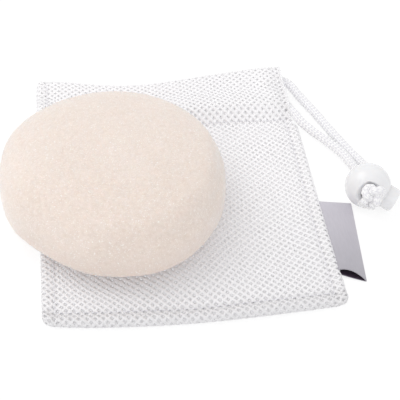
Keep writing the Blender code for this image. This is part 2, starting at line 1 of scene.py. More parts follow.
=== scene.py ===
import math
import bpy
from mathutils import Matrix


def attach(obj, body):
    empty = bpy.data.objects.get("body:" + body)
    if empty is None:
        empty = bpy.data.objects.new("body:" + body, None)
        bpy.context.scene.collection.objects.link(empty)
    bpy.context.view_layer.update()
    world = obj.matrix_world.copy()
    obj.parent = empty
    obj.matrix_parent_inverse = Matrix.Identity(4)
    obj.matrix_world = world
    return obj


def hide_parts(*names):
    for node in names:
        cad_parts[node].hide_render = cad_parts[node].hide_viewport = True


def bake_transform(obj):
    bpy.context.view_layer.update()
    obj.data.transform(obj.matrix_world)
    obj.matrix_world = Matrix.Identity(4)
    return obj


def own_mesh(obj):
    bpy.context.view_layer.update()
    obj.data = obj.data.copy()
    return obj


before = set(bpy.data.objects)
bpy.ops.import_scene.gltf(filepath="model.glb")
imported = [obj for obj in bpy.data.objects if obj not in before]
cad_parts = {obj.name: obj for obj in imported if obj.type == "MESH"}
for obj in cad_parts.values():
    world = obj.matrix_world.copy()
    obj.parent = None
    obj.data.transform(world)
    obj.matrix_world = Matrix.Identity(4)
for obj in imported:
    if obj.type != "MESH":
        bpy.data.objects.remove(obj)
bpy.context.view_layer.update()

from types import SimpleNamespace

import bmesh
import bpy
import numpy as np
from mathutils import Matrix, Vector, noise

# A thick puff sponge on the mesh drawstring pouch that it is kept in.
# Lengths are metres in the part's own frame: +Z is up and +Y runs to the pouch's mouth.
mm = 0.001
collection = bpy.context.scene.collection


# Shader and geometry trees

def connect(tree, value, socket):
    if isinstance(value, Wire):
        tree.links.new(value.socket, socket)
    elif isinstance(value, list):
        for wire in value:
            tree.links.new(wire.socket, socket)
    else:
        socket.default_value = value


def addNode(tree, kind, settings=None, inputs=None, output=0):
    node = tree.nodes.new(kind)
    for key, value in (settings or {}).items():
        setattr(node, key, value)
    for key, value in (inputs or {}).items():
        connect(tree, value, node.inputs[key])
    return Wire(tree, node.outputs[output]) if node.outputs else node


class Wire:
    # A socket that plain arithmetic can be written with.
    def __init__(self, tree, socket):
        self.tree = tree
        self.socket = socket

    def maths(self, operation, first, second, clamp=False):
        settings = {"operation": operation, "use_clamp": clamp}
        return addNode(self.tree, "ShaderNodeMath", settings, {0: first, 1: second})

    def __add__(self, other):
        return self.maths("ADD", self, other)

    def __sub__(self, other):
        return self.maths("SUBTRACT", self, other)

    def __rsub__(self, other):
        return self.maths("SUBTRACT", other, self)

    def __mul__(self, other):
        return self.maths("MULTIPLY", self, other)

    def __truediv__(self, other):
        return self.maths("DIVIDE", self, other)

    def __rtruediv__(self, other):
        return self.maths("DIVIDE", other, self)

    def clamped(self):
        return self.maths("ADD", self, 0.0, clamp=True)

    def between(self, low, high):
        return self.maths("DIVIDE", self - low, high - low, clamp=True)

    __radd__ = __add__
    __rmul__ = __mul__


class Tree:
    # What a material and a Geometry Nodes tree have in common.
    def node(self, kind, settings=None, inputs=None, output=0):
        return addNode(self.tree, kind, settings, inputs, output)


class Finish(Tree):
    # A material: a Principled shader and what feeds it.
    def __init__(self, name, **constants):
        self.material = bpy.data.materials.new(name)
        self.material.use_nodes = True
        self.tree = self.material.node_tree
        self.shader = self.found("BSDF_PRINCIPLED")
        for key, value in constants.items():
            self.shader.inputs[key.replace("_", " ")].default_value = value

    def found(self, kind):
        return next(node for node in self.tree.nodes if node.type == kind)

    def place(self):
        return self.node("ShaderNodeTexCoord", output="Object")

    def attribute(self, name):
        return self.node("ShaderNodeAttribute", {"attribute_name": name}, output="Fac")

    def noise(self, scale, detail=2.0, roughness=0.5, place=None):
        inputs = {"Vector": place or self.place(), "Scale": scale, "Detail": detail,
                  "Roughness": roughness}
        return self.node("ShaderNodeTexNoise", inputs=inputs)

    def mixed(self, share, low, high):
        low = (*low, 1.0) if isinstance(low, tuple) else low
        high = (*high, 1.0) if isinstance(high, tuple) else high
        return self.node("ShaderNodeMix", {"data_type": "RGBA"}, {0: share, 6: low, 7: high}, 2)

    def bump(self, height, distance, strength):
        inputs = {"Strength": strength, "Distance": distance, "Height": height}
        self.feed("Normal", self.node("ShaderNodeBump", inputs=inputs))

    def feed(self, name, value):
        connect(self.tree, value, self.shader.inputs[name])

    def letThrough(self, colour, share):
        # Thin threads let part of the light through.
        thin = self.node("ShaderNodeBsdfTranslucent", inputs={"Color": colour})
        solid = Wire(self.tree, self.shader.outputs[0])
        both = self.node("ShaderNodeMixShader", inputs={0: share, 1: solid, 2: thin})
        connect(self.tree, both, self.found("OUTPUT_MATERIAL").inputs["Surface"])


class Steps(Tree):
    # A Geometry Nodes tree with named inputs.
    def __init__(self, name, inputs):
        self.tree = bpy.data.node_groups.new(name, "GeometryNodeTree")
        face = self.tree.interface
        face.new_socket("Geometry", in_out="INPUT", socket_type="NodeSocketGeometry")
        self.keys = {}
        for label, kind in inputs:
            socket = face.new_socket(label, in_out="INPUT", socket_type="NodeSocket" + kind)
            self.keys[label] = socket.identifier
        face.new_socket("Geometry", in_out="OUTPUT", socket_type="NodeSocketGeometry")
        self.entry = self.tree.nodes.new("NodeGroupInput")

    def input(self, label):
        return Wire(self.tree, self.entry.outputs[label])

    def objectIn(self, label):
        return self.node("GeometryNodeObjectInfo", inputs={"Object": self.input(label)}, output="Geometry")

    def finish(self, geometry):
        real = self.node("GeometryNodeRealizeInstances", inputs={"Geometry": geometry})
        inputs = {"Geometry": real, "Material": self.input("Material")}
        self.node("NodeGroupOutput", inputs={
            "Geometry": self.node("GeometryNodeSetMaterial", inputs=inputs),
        })
        return self


def bake(steps, start, values):
    # Runs the tree on a start mesh and gives back the plain mesh that comes out.
    host = newObject(steps.tree.name, start)
    modifier = host.modifiers.new(steps.tree.name, "NODES")
    modifier.node_group = steps.tree
    for label, value in values.items():
        modifier[steps.keys[label]] = value
    made = evaluated(host)
    bpy.data.objects.remove(host)
    return made


def evaluated(obj):
    depsgraph = bpy.context.evaluated_depsgraph_get()
    depsgraph.update()
    return bpy.data.meshes.new_from_object(obj.evaluated_get(depsgraph))


# Meshes

def newObject(name, data):
    obj = bpy.data.objects.new(name, data)
    collection.objects.link(obj)
    return obj


def addAttribute(mesh, name, values, domain="POINT"):
    layer = mesh.attributes.new(name, "FLOAT", domain)
    layer.data.foreach_set("value", np.asarray(values, np.float32))


def meshOf(name, points, faces, attributes=None):
    mesh = bpy.data.meshes.new(name)
    mesh.from_pydata(np.asarray(points).tolist(), [], faces)
    for key, values in (attributes or {}).items():
        addAttribute(mesh, key, values)
    mesh.shade_smooth()
    return mesh


def fromBmesh(name, bm):
    mesh = bpy.data.meshes.new(name)
    bm.to_mesh(mesh)
    bm.free()
    mesh.shade_smooth()
    return mesh


def piece(name, mesh, finish, body=None, stands=()):
    # A mesh that already carries its material is given no finish.
    obj = newObject(name, mesh)
    if finish:
        mesh.materials.clear()
        mesh.materials.append(finish.material)
    if body:
        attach(obj, body)
    if stands:
        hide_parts(*stands)
    return obj


def coordinates(mesh):
    flat = np.zeros(len(mesh.vertices) * 3)
    mesh.vertices.foreach_get("co", flat)
    return flat.reshape(-1, 3)


def setCoordinates(mesh, points):
    mesh.vertices.foreach_set("co", points.ravel())


def outward(mesh):
    bm = bmesh.new()
    bm.from_mesh(mesh)
    if bm.calc_volume(signed=True) < 0:
        bmesh.ops.reverse_faces(bm, faces=bm.faces)
        bm.to_mesh(mesh)
    bm.free()
    return mesh


def circle(count):
    # Even angles once round.
    return np.linspace(0, 2 * np.pi, count, endpoint=False)


def unit(vector):
    return vector / np.linalg.norm(vector)


def smoothstep(start, end, value):
    share = np.clip((value - start) / (end - start), 0.0, 1.0)
    return share * share * (3 - 2 * share)


def bell(centre, width, value):
    return np.exp(-(((value - centre) / width) ** 2))


def gridFaces(rows, columns, closedAcross=False, first=0):
    faces = []
    across = columns if closedAcross else columns - 1
    for r in range(rows - 1):
        for c in range(across):
            a = first + r * columns + c
            b = first + r * columns + (c + 1) % columns
            faces.append((a, b, b + columns, a + columns))
    return faces


def ringsAlong(line, side, up, around, out):
    # Rings of points about a line. Their distance from it may vary along and around it.
    around = around[None, :]
    return line[:, None] + out * (
        np.cos(around)[..., None] * side[:, None] + np.sin(around)[..., None] * up[:, None]
    )


def tubeMesh(name, rings, relief, ends):
    # Rings joined to a tube and closed with a fan at the first and the last of its end points.
    rows, sides = rings.shape[:2]
    points = np.concatenate((rings.reshape(-1, 3), ends[:1], ends[-1:]))
    values = np.concatenate((np.broadcast_to(relief, (rows, sides)).ravel(), (0.4, 0.4)))
    faces = [tuple(reversed(face)) for face in gridFaces(rows, sides, closedAcross=True)]
    first, last = rows * sides, rows * sides + 1
    for k in range(sides):
        following = (k + 1) % sides
        faces.append((k, following, first))
        faces.append(((rows - 1) * sides + following, (rows - 1) * sides + k, last))
    return outward(meshOf(name, points, faces, {"relief": values}))


# Camera, floor and light

view = {
    "pitch": 43.5, "yaw": 8.9, "roll": 2.82, "lens": 99.0, "sensor": 36.0, "near": 0.01, "far": 20.0,
    "place": (-40.0 * mm, -318.4 * mm, 298.9 * mm),
}
studio = {
    "world": 0.83,
    "key": {"size": 0.8, "power": 2.95, "place": (-0.55, 0.30, 0.85), "colour": (1.0, 0.985, 0.965)},
    "fill": {"size": 0.9, "power": 1.0, "place": (-0.05, -0.80, 0.75), "colour": (0.975, 0.98, 1.0)},
    "floor": {"half": 3.0, "drop": 0.05 * mm, "lit": 0.97, "seenLit": 0.24, "seenGlow": 0.80},
}


def addCamera():
    pitch, yaw, roll = (math.radians(view[key]) for key in ("pitch", "yaw", "roll"))
    ahead = Vector((math.sin(yaw) * math.cos(pitch), math.cos(yaw) * math.cos(pitch), -math.sin(pitch)))
    level = Vector((math.cos(yaw), -math.sin(yaw), 0))
    up = level.cross(ahead)
    right = math.cos(roll) * level + math.sin(roll) * up
    upright = math.cos(roll) * up - math.sin(roll) * level
    data = bpy.data.cameras.new("camera")
    data.lens, data.sensor_width = view["lens"], view["sensor"]
    data.clip_start, data.clip_end = view["near"], view["far"]
    camera = newObject("camera", data)
    matrix = Matrix((right, upright, -ahead)).transposed().to_4x4()
    matrix.translation = view["place"]
    camera.matrix_world = matrix
    bpy.context.scene.camera = camera


def seenShare(tree):
    # One for what the camera sees, straight or in a reflection, and zero for all other light.
    rays = tree.nodes.new("ShaderNodeLightPath")
    seen = Wire(tree, rays.outputs["Is Camera Ray"])
    for name in ("Is Glossy Ray", "Is Transmission Ray"):
        seen = seen.maths("MAXIMUM", seen, Wire(tree, rays.outputs[name]))
    return seen


def addLights():
    world = bpy.data.worlds.new("studio")
    bpy.context.scene.world = world
    world.use_nodes = True
    tree = world.node_tree
    tree.nodes.clear()
    strength = seenShare(tree) * (1.0 - studio["world"]) + studio["world"]
    light = addNode(tree, "ShaderNodeBackground", inputs={"Color": (1, 1, 1, 1), "Strength": strength})
    addNode(tree, "ShaderNodeOutputWorld", inputs={"Surface": light})
    for name in ("key", "fill"):
        facts = studio[name]
        data = bpy.data.lights.new(name, "AREA")
        data.shape = "DISK"
        data.size = facts["size"]
        data.energy = facts["power"]
        data.color = facts["colour"]
        lamp = newObject(name, data)
        lamp.location = facts["place"]
        lamp.rotation_euler = (-Vector(facts["place"])).to_track_quat("-Z", "Y").to_euler()


def addFloor():
    facts = studio["floor"]
    finish = Finish("floorFinish", Roughness=1.0, Specular_IOR_Level=0.0, Emission_Strength=1.0)
    seen = seenShare(finish.tree)
    finish.feed("Base Color", finish.mixed(seen, (facts["lit"],) * 3, (facts["seenLit"],) * 3))
    finish.feed("Emission Color", finish.mixed(seen, (0.0, 0.0, 0.0), (facts["seenGlow"],) * 3))
    half = facts["half"]
    corners = [(-half, -half, 0), (half, -half, 0), (half, half, 0), (-half, half, 0)]
    floor = newObject("floor", meshOf("floor", corners, [(0, 1, 2, 3)]))
    floor.location.z = -facts["drop"]
    floor.data.materials.append(finish.material)


addCamera()
addLights()
addFloor()
bpy.context.scene.view_settings.view_transform = "Standard"
print("camera, floor and light are set")


# The part's own sizes that the looks follow

pouch = {
    "halfWidth": 55.0 * mm, "halfLength": 67.0 * mm, "sag": 7.0 * mm, "sagShift": 0.15,
    "slant": 1.5 * mm, "bow": 4.0 * mm, "bowLean": 0.22, "drawnLeft": 1.0 * mm,
    "spreadRight": 0.6 * mm, "cornerStart": 50.0 * mm, "cornerRun": 5.0 * mm,
    "cornerCut": 1.1 * mm, "exitCut": 2.0 * mm,
}
spongeSize = {
    "x": -24.6 * mm, "y": -9.8 * mm, "base": 3.3 * mm, "radius": 43.9 * mm, "height": 31.0 * mm,
    "waist": 10.0 * mm, "crownPower": 3.0, "bellyPower": 2.8,
    "plan": ((2, -0.025, -0.018), (3, -0.010, 0.019)),
    "bulges": ((203.0, 17.0, 0.034), (150.0, 22.0, 0.012)),
}
cordSize = {
    "radius": 1.9 * mm, "gripped": 1.6 * mm, "seat": 0.3 * mm, "back": 3.05 * mm, "front": 5.25 * mm,
    "farRun": 62.8 * mm, "nearRun": 46.0 * mm, "panelEdge": 51.2 * mm, "strandStart": 5.3 * mm,
}
lockSize = {
    "radius": 9.0 * mm, "out": 18.8 * mm, "y": -14.0 * mm, "turn": -26.0, "dip": 21.0, "roll": 23.0,
    "holeShift": 1.4 * mm, "press": 2.2 * mm, "holeWidth": 7.2 * mm, "holeHeight": 6.0 * mm,
    "flare": 3.8 * mm, "flareDepth": 3.4 * mm, "floor": 5.8 * mm, "shaft": 4.8 * mm,
    "button": 12.1 * mm, "fit": 0.2 * mm, "collar": 0.4 * mm, "collarHeight": 0.9 * mm,
}


def drape(x, y):
    # The mouth sags towards the middle and the near hem bows outwards.
    side = np.clip(x / pouch["halfWidth"], -1.0, 1.0)
    share = np.minimum(np.abs(y) / pouch["halfLength"], 1.0) ** 2
    sag = np.cos(np.pi / 2 * (side + pouch["sagShift"])) ** 2
    bow = np.maximum(1 - side * side, 0) ** 0.8 * (1 - pouch["bowLean"] * side)
    far = y + share * (pouch["slant"] * side - pouch["sag"] * sag)
    return np.where(y > 0, far, y - share * pouch["bow"] * bow)


def onDrape(x, y):
    # The cloth's left edge is drawn in, its near right corner spreads and its corners are rounded.
    spread = smoothstep(30 * mm, 54 * mm, x) * smoothstep(-30 * mm, -64 * mm, y)
    drawn = x + pouch["drawnLeft"] * smoothstep(-20 * mm, -54 * mm, x) + pouch["spreadRight"] * spread
    corner = np.clip((np.abs(x) - pouch["cornerStart"]) / pouch["cornerRun"], 0.0, 1.2)
    end = smoothstep(50 * mm, pouch["halfLength"], np.abs(y))
    exitCorner = (x > 0) & (y > 0)
    cut = np.where(exitCorner, pouch["exitCut"] * corner**2, pouch["cornerCut"] * corner**3)
    return drawn, drape(x, y) - np.sign(y) * cut * end


def lockFrame():
    # Local X runs along the cord's hole to the knot, and local Z is the button's axis.
    turn, dip, roll = (math.radians(lockSize[key]) for key in ("turn", "dip", "roll"))
    axis = Vector((math.cos(turn) * math.cos(dip), math.sin(turn) * math.cos(dip), -math.sin(dip)))
    level = Vector((math.sin(turn), -math.cos(turn), 0))
    hole = math.cos(roll) * level + math.sin(roll) * level.cross(axis)
    matrix = Matrix((hole, axis.cross(hole), axis)).transposed().to_4x4()
    matrix.translation = (pouch["halfWidth"] + lockSize["out"], lockSize["y"], lockSize["radius"])
    return matrix


lock = lockFrame()


# Cord: one knitted cord, from the knot through the lock and the back casing, round the left
# end, and back through the front casing and the lock to the knot

knit = {
    "columns": 6, "sides": 48, "step": 0.22 * mm, "stitch": 1.75 * mm, "relief": 0.38 * mm,
    "light": (0.96, 0.96, 0.96), "deep": (0.66, 0.65, 0.70), "fuzz": 0.10 * mm,
}
rightEnd = cordSize["panelEdge"] - cordSize["strandStart"]


def smoothRoute(points, steps=24):
    # A smooth curve through the points, its ends led by their own neighbours.
    knots = [Vector(p) for p in points]
    knots = [2 * knots[0] - knots[1]] + knots + [2 * knots[-1] - knots[-2]]
    route = []
    for a, b, c, d in zip(knots, knots[1:], knots[2:], knots[3:]):
        for k in range(steps):
            t = k / steps
            route.append(0.5 * (
                2 * b + (c - a) * t + (2 * a - 5 * b + 4 * c - d) * t * t
                + (3 * b - a - 3 * c + d) * t * t * t
            ))
    route.append(knots[-2])
    return np.array([tuple(p) for p in route])


def casedRoute():
    # Along the back casing, round the left end as half a turn, and back along the front casing.
    back, front = cordSize["back"], cordSize["front"]
    radius = (cordSize["farRun"] - cordSize["nearRun"]) / 2
    middle = (cordSize["farRun"] + cordSize["nearRun"]) / 2
    centre = -cordSize["panelEdge"] + cordSize["seat"] + cordSize["radius"] + radius
    runs = np.linspace(rightEnd, centre - 2 * cordSize["radius"], 8)[1:-1]
    route = [Vector((x, float(drape(x, cordSize["farRun"])), back)) for x in runs]
    for k in range(1, 6):
        turn = math.pi / 2 + math.pi * k / 6
        x = centre + radius * math.cos(turn)
        y = float(drape(x, middle + radius * math.sin(turn)))
        route.append(Vector((x, y, back + (front - back) * k / 6)))
    route += [Vector((x, float(drape(x, cordSize["nearRun"])), front)) for x in runs[::-1]]
    return route


def cordRoute():
    edge = pouch["halfWidth"]
    line = lockSize["holeShift"] + lockSize["press"] / 2
    aside = cordSize["gripped"] + cordSize["seat"] / 2

    def inLock(out, across, shift=0.0):
        return lock @ Vector((out * mm, across, line + shift * mm))

    def beside(x, y, z):
        return Vector((edge + x * mm, y * mm, z * mm))

    farStrand = [
        inLock(10.4, -aside, -0.2), inLock(7.3, -aside), inLock(3.5, -aside), inLock(-0.5, -aside),
        inLock(-4.5, -aside), inLock(-8.0, -aside, -0.6), beside(23.1, 0.5, 4.6),
        beside(21.7, 7.0, 2.4), beside(17.6, 17.2, 2.1), beside(13.4, 28.5, 2.1),
        beside(9.3, 40.2, 2.2), beside(5.0, 50.8, 2.5), beside(3.0, 56.2, 2.8),
        beside(0.8, 60.7, 3.0), beside(-3.0, 63.3, 3.05), beside(-7.5, 64.0, 3.05),
    ]
    nearStrand = [
        beside(-5.2, 44.0, 5.25), beside(-1.2, 38.8, 5.0), beside(1.6, 32.5, 4.3),
        beside(6.1, 25.6, 3.6), beside(11.3, 19.1, 3.0), beside(15.3, 12.0, 3.0),
        beside(17.5, 5.0, 3.1), beside(19.6, -1.6, 3.4), inLock(-8.0, aside, -0.6),
        inLock(-4.5, aside), inLock(-0.5, aside), inLock(3.5, aside), inLock(7.3, aside),
        inLock(10.4, aside, -0.2),
    ]
    return smoothRoute(farStrand + casedRoute() + nearStrand)


def evenLine(route, step):
    # Even steps along the route, each with two directions across it that never twist.
    lengths = np.concatenate(([0], np.cumsum(np.linalg.norm(np.diff(route, axis=0), axis=1))))
    count = round(lengths[-1] / step)
    travelled = np.linspace(0, lengths[-1], count + 1)
    line = np.stack([np.interp(travelled, lengths, route[:, k]) for k in range(3)], axis=1)
    ahead = np.gradient(line, axis=0)
    ahead /= np.linalg.norm(ahead, axis=1)[:, None]
    side = np.cross(ahead[0], (0.31, 0.22, 0.93))
    sides = []
    for direction in ahead:
        side = unit(side - direction * side.dot(direction))
        sides.append(side)
    sides = np.array(sides)
    return travelled, line, sides, np.cross(ahead, sides)


def knitRelief(around, along, columns, stitch):
    # Two slanted legs to each column, which meet in a row of V stitches.
    column = around * columns / (2 * np.pi)
    local = np.abs(2 * (column - np.floor(column)) - 1)
    leg = np.sin(np.pi * local) ** 2
    wave = 0.5 + 0.5 * np.cos(2 * np.pi * (along / stitch + 0.55 * local))
    return (0.30 + 0.70 * leg) * (0.25 + 0.75 * wave)


def knitTube(route, radius, facts):
    # Rings of a knitted cord: their distances along it, its line, their points and relief.
    travelled, line, side, up = evenLine(route, facts["step"])
    around = circle(facts["sides"])
    relief = knitRelief(around[None, :], travelled[:, None], facts["columns"], facts["stitch"])
    wide = radius(line)[:, None] if callable(radius) else radius
    out = wide + facts["relief"] * (relief - 0.62)
    return travelled, line, ringsAlong(line, side, up, around, out[..., None]), relief


def cordFinish():
    # A faint painted glow in the cord's light colour lightens its shade.
    finish = Finish("knittedCord", Roughness=0.75, Sheen_Weight=0.35, Sheen_Roughness=0.4,
                    Subsurface_Weight=0.45, Subsurface_Scale=0.9 * mm, Emission_Strength=0.05,
                    Emission_Color=(*knit["light"], 1.0), Subsurface_Radius=(1.0, 1.0, 1.0))
    # Painted shade: the knit is darker in its grooves, where its relief is low, mixed with random fuzz.
    depth = finish.attribute("relief").between(0.10, 0.62)
    fuzz = finish.noise(2600.0, 3.0)
    shade = (depth * 0.85 + fuzz * 0.3).clamped()
    finish.feed("Base Color", finish.mixed(shade, knit["deep"], knit["light"]))
    finish.bump(fuzz, knit["fuzz"], 0.6)
    return finish


def cordWidth(line):
    # The cord is squeezed in the lock and swells to its own width outside it.
    away = np.linalg.norm(line - np.array(lock.translation), axis=1)
    free = smoothstep(lockSize["radius"], 2 * lockSize["radius"] + 2 * cordSize["radius"], away)
    return cordSize["gripped"] + (cordSize["radius"] - cordSize["gripped"]) * free


def passing(values, level):
    # The steps at which a run of values passes a level.
    return [k for k in range(len(values) - 1) if (values[k] - level) * (values[k + 1] - level) <= 0]


def cutCord(holeMouth):
    # The cord is cut at the lock's back mouth and where it enters and leaves the casings.
    travelled, line, rings, relief = knitTube(cordRoute(), cordWidth, knit)
    outInLock = (np.array(lock.inverted())[:3, :3] @ (line - np.array(lock.translation)).T)[0]
    throughLock = passing(outInLock, holeMouth)
    cased = [k for k in passing(line[:, 0], rightEnd) if line[k, 1] > 35 * mm]
    marks = [0, throughLock[0], cased[0], cased[-1], throughLock[-1], len(line) - 1]
    names = ("tailFar", "strandFar", "casedCord", "strandNear", "tailNear")
    stretches = {}
    for name, first, last in zip(names, marks, marks[1:]):
        cut = slice(first, last + 1)
        mesh = tubeMesh(name, rings[cut], relief[cut], line[cut])
        stretches[name] = {
            "line": line[cut], "length": float(travelled[last] - travelled[first]),
            "object": piece(name, mesh, cordLook),
        }
    return stretches


holeMouth, buttonExit, knotMouth = -8.6 * mm, 5.2 * mm, 10.0 * mm
cordLook = cordFinish()
stretches = cutCord(holeMouth)
print("cord:", {name: round(facts["length"] / mm, 1) for name, facts in stretches.items()})

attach(stretches["casedCord"]["object"], "pouch")
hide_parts("cased_cord")
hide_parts("strand_far")
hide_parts("strand_near")
for name in ("strandFar", "strandNear"):
    facts = stretches[name]
    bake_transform(facts["object"])
for name in ("tailFar", "tailNear"):
    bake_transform(stretches[name]["object"])


# End knot: an overhand knot pulled tight, with two frayed ends

knot = {
    "out": 10.3 * mm, "along": 1.9 * mm, "lift": 1.3 * mm, "across": 3.5 * mm, "tall": 3.4 * mm,
    "deep": 1.4 * mm, "radius": 1.55 * mm, "fibres": 46, "fibre": 0.11 * mm, "frayed": 1.25 * mm,
    "root": 0.3 * mm, "bend": 0.12 * mm,
}
knotKnit = dict(knit, columns=6, sides=36, step=0.20 * mm, stitch=1.35 * mm, relief=0.26 * mm)


def lockPoints(points):
    matrix = np.array(lock)
    return points @ matrix[:3, :3].T + matrix[:3, 3]


def merged(name, meshes):
    bm = bmesh.new()
    for mesh in meshes:
        bm.from_mesh(mesh)
    return fromBmesh(name, bm)


def knotLoop():
    turn = np.linspace(0, 2 * np.pi, 400)
    return np.stack((
        knot["out"] - knot["deep"] * np.sin(3 * turn),
        knot["across"] * (np.sin(turn) + 2 * np.sin(2 * turn)) / 3 - knot["lift"],
        knot["along"] + knot["tall"] * (np.cos(turn) - 2 * np.cos(2 * turn)) / 3,
    ), axis=1)


def knotStub(sign, reach):
    out, along = knot["out"], knot["along"]
    return np.array(smoothRoute(np.array([
        (out, 0.2 * mm, along + sign * 1.0 * mm),
        (out + 0.9 * mm, 1.7 * mm, along + sign * 1.6 * mm),
        (out + 1.1 * mm, reach, along + sign * 1.9 * mm),
    ])))


def fibreMesh(spine, sides=5):
    route = smoothRoute(spine, 4)
    step = np.linalg.norm(np.diff(route, axis=0), axis=1).sum() / 6
    _, line, side, up = evenLine(route, step)
    thin = (knot["fibre"] * np.linspace(1.0, 0.55, len(line)))[:, None, None]
    return tubeMesh("fibre", ringsAlong(line, side, up, circle(sides), thin), 0.6, line)


def frayed(line, rng):
    # Loose fibres that leave a cord's cut end and spread a little.
    end, ahead = line[-1], unit(line[-1] - line[-4])
    side = unit(np.cross(ahead, (0.3, 0.2, 0.9)))
    up = np.cross(ahead, side)
    meshes = []
    for _ in range(knot["fibres"]):
        around, far = rng.uniform(0, 2 * np.pi), math.sqrt(rng.uniform(0, 1)) * knot["frayed"]
        spread = far * (math.cos(around) * side + math.sin(around) * up)
        foot = end + spread - knot["root"] * ahead
        tip = foot + rng.uniform(0.7, 1.7) * mm * ahead + spread * rng.uniform(0.1, 0.6)
        bend = (foot + tip) / 2 + rng.normal(0, knot["bend"], 3)
        meshes.append(fibreMesh(np.array((foot, bend, tip))))
    return meshes


def makeKnot():
    _, line, rings, relief = knitTube(lockPoints(knotLoop()), knot["radius"], knotKnit)
    meshes = [tubeMesh("loop", rings, relief, line)]
    rng = np.random.default_rng(7)
    for sign, reach in ((-1, 3.5 * mm), (1, 3.0 * mm)):
        route = lockPoints(knotStub(sign, reach))
        _, line, rings, relief = knitTube(route, knot["radius"] * 0.92, knotKnit)
        meshes.append(tubeMesh("stub", rings, relief, line))
        meshes += frayed(line, rng)
    return outward(merged("endKnot", meshes))


endKnot = piece("endKnot", makeKnot(), cordLook, "pouch", ["end_knot"])
print("knot has", len(endKnot.data.vertices), "points")

for name, tail, extra in (("strandFar", "tailFar", [endKnot]), ("strandNear", "tailNear", [])):
    facts = stretches[name]
    [stretches[tail]["object"]] + extra


# Mesh pouch: two sheets of knitted net, each folded back inside the mouth to form a casing

net = {
    "pitchX": 3.0 * mm, "pitchY": 2.8 * mm, "thread": 0.18 * mm, "weld": 0.02 * mm, "border": 0.45,
    "hole": (0.22, 0.15, 0.22, 0.39), "rise": (1.0, 1.35, 1.0, 0.60),
    "light": (0.945, 0.94, 0.945), "deep": (0.94, 0.93, 0.955), "fuzz": 0.12 * mm,
    # The glows are painted glow, an emission in place of light scattered through the net.
    "crestGlow": 0.07, "hollowGlow": 0.17, "underGlow": 0.16, "through": 0.25,
    "hemPaintedShade": ((0.0, -64 * mm, 0.3), (-59 * mm, -63 * mm, 0.4)), "endPaintedShade": 0.4,
}
frontCloth = {
    "width": 123 * mm, "start": -70 * mm, "end": 97 * mm,
    "core": 52.8 * mm, "near": -64.8 * mm, "far": 64.2 * mm, "ground": 0.30 * mm,
    "side": 2.2 * mm, "fold": 1.5 * mm, "lining": 27.5 * mm, "open": 53.4 * mm,
    "openFrom": 32.5 * mm, "wrap": math.radians(150), "apart": 0.7 * mm,
}
backCloth = {
    "width": 108 * mm, "start": -67 * mm, "end": 100 * mm,
    "core": 53.4 * mm, "near": -65.8 * mm, "far": 63.6 * mm, "ground": 0.42 * mm,
    "fold": 2.9 * mm, "lining": 27.0 * mm, "apart": 0.4 * mm,
}
# How the upper sheet lies. Ridges and grooves are a place, a width and a height,
# and rises are where they start and end, and their height.
lie = {
    "top": 2.85 * mm, "crease": 0.30 * mm, "sway": 1.1 * mm, "straight": 52.2 * mm,
    "seamRidge": (53.8 * mm, 1.6 * mm, 0.75 * mm), "seamGroove": (50.3 * mm, 0.9 * mm, 0.55 * mm),
    "hemRise": (-62.4 * mm, -64.4 * mm, 0.75 * mm), "hemGroove": (-61.6 * mm, 0.9 * mm, 0.45 * mm),
    "casingRise": (34.0 * mm, 43.0 * mm, 5.05 * mm), "casingGroove": (54.5 * mm, 4.0 * mm, 0.8 * mm),
    "backRise": (49.8 * mm, 59.0 * mm, 4.2 * mm), "backTop": 1.9 * mm,
    "overCord": 0.55 * mm, "underCord": 1.2 * mm, "cordFrom": 24 * mm, "overFrom": (36.0 * mm, 39.5 * mm),
}
# How the net's holes are pulled small: from where to where, and by what share. The casing's
# grooves are a place, a width and the share by which the holes stay open.
pulled = {
    "casing": (34 * mm, 38 * mm, 0.62), "farEdge": (53 * mm, 57 * mm, 0.5),
    "rightEnd": (30 * mm, 46 * mm, 0.65), "uneven": 0.16,
    "grooves": ((40.5 * mm, 1.9 * mm, 0.42), (49.8 * mm, 1.6 * mm, 0.38)),
}


def netTile():
    # One hole with half of each thread round it, thicker along one diagonal family.
    a, b, t = net["pitchX"] / 2, net["pitchY"] / 2, net["thread"]
    quarter = [(a, 0), (a / 2, b / 2), (0, b), (-a / 2, b / 2)]
    rim = quarter + [(-x, -y) for x, y in quarter]
    rise, hole = net["rise"] * 2, net["hole"] * 2
    points = [(x, y, t * up) for (x, y), up in zip(rim, rise)]
    points += [(x, y, -t * up) for (x, y), up in zip(rim, rise)]
    points += [(x * share, y * share, 0) for (x, y), share in zip(rim, hole)]
    faces = []
    for k in range(8):
        n = (k + 1) % 8
        faces.append((k, n, 16 + n, 16 + k))
        faces.append((8 + n, 8 + k, 16 + k, 16 + n))
    return newObject("netTile", meshOf("netTile", points, faces))


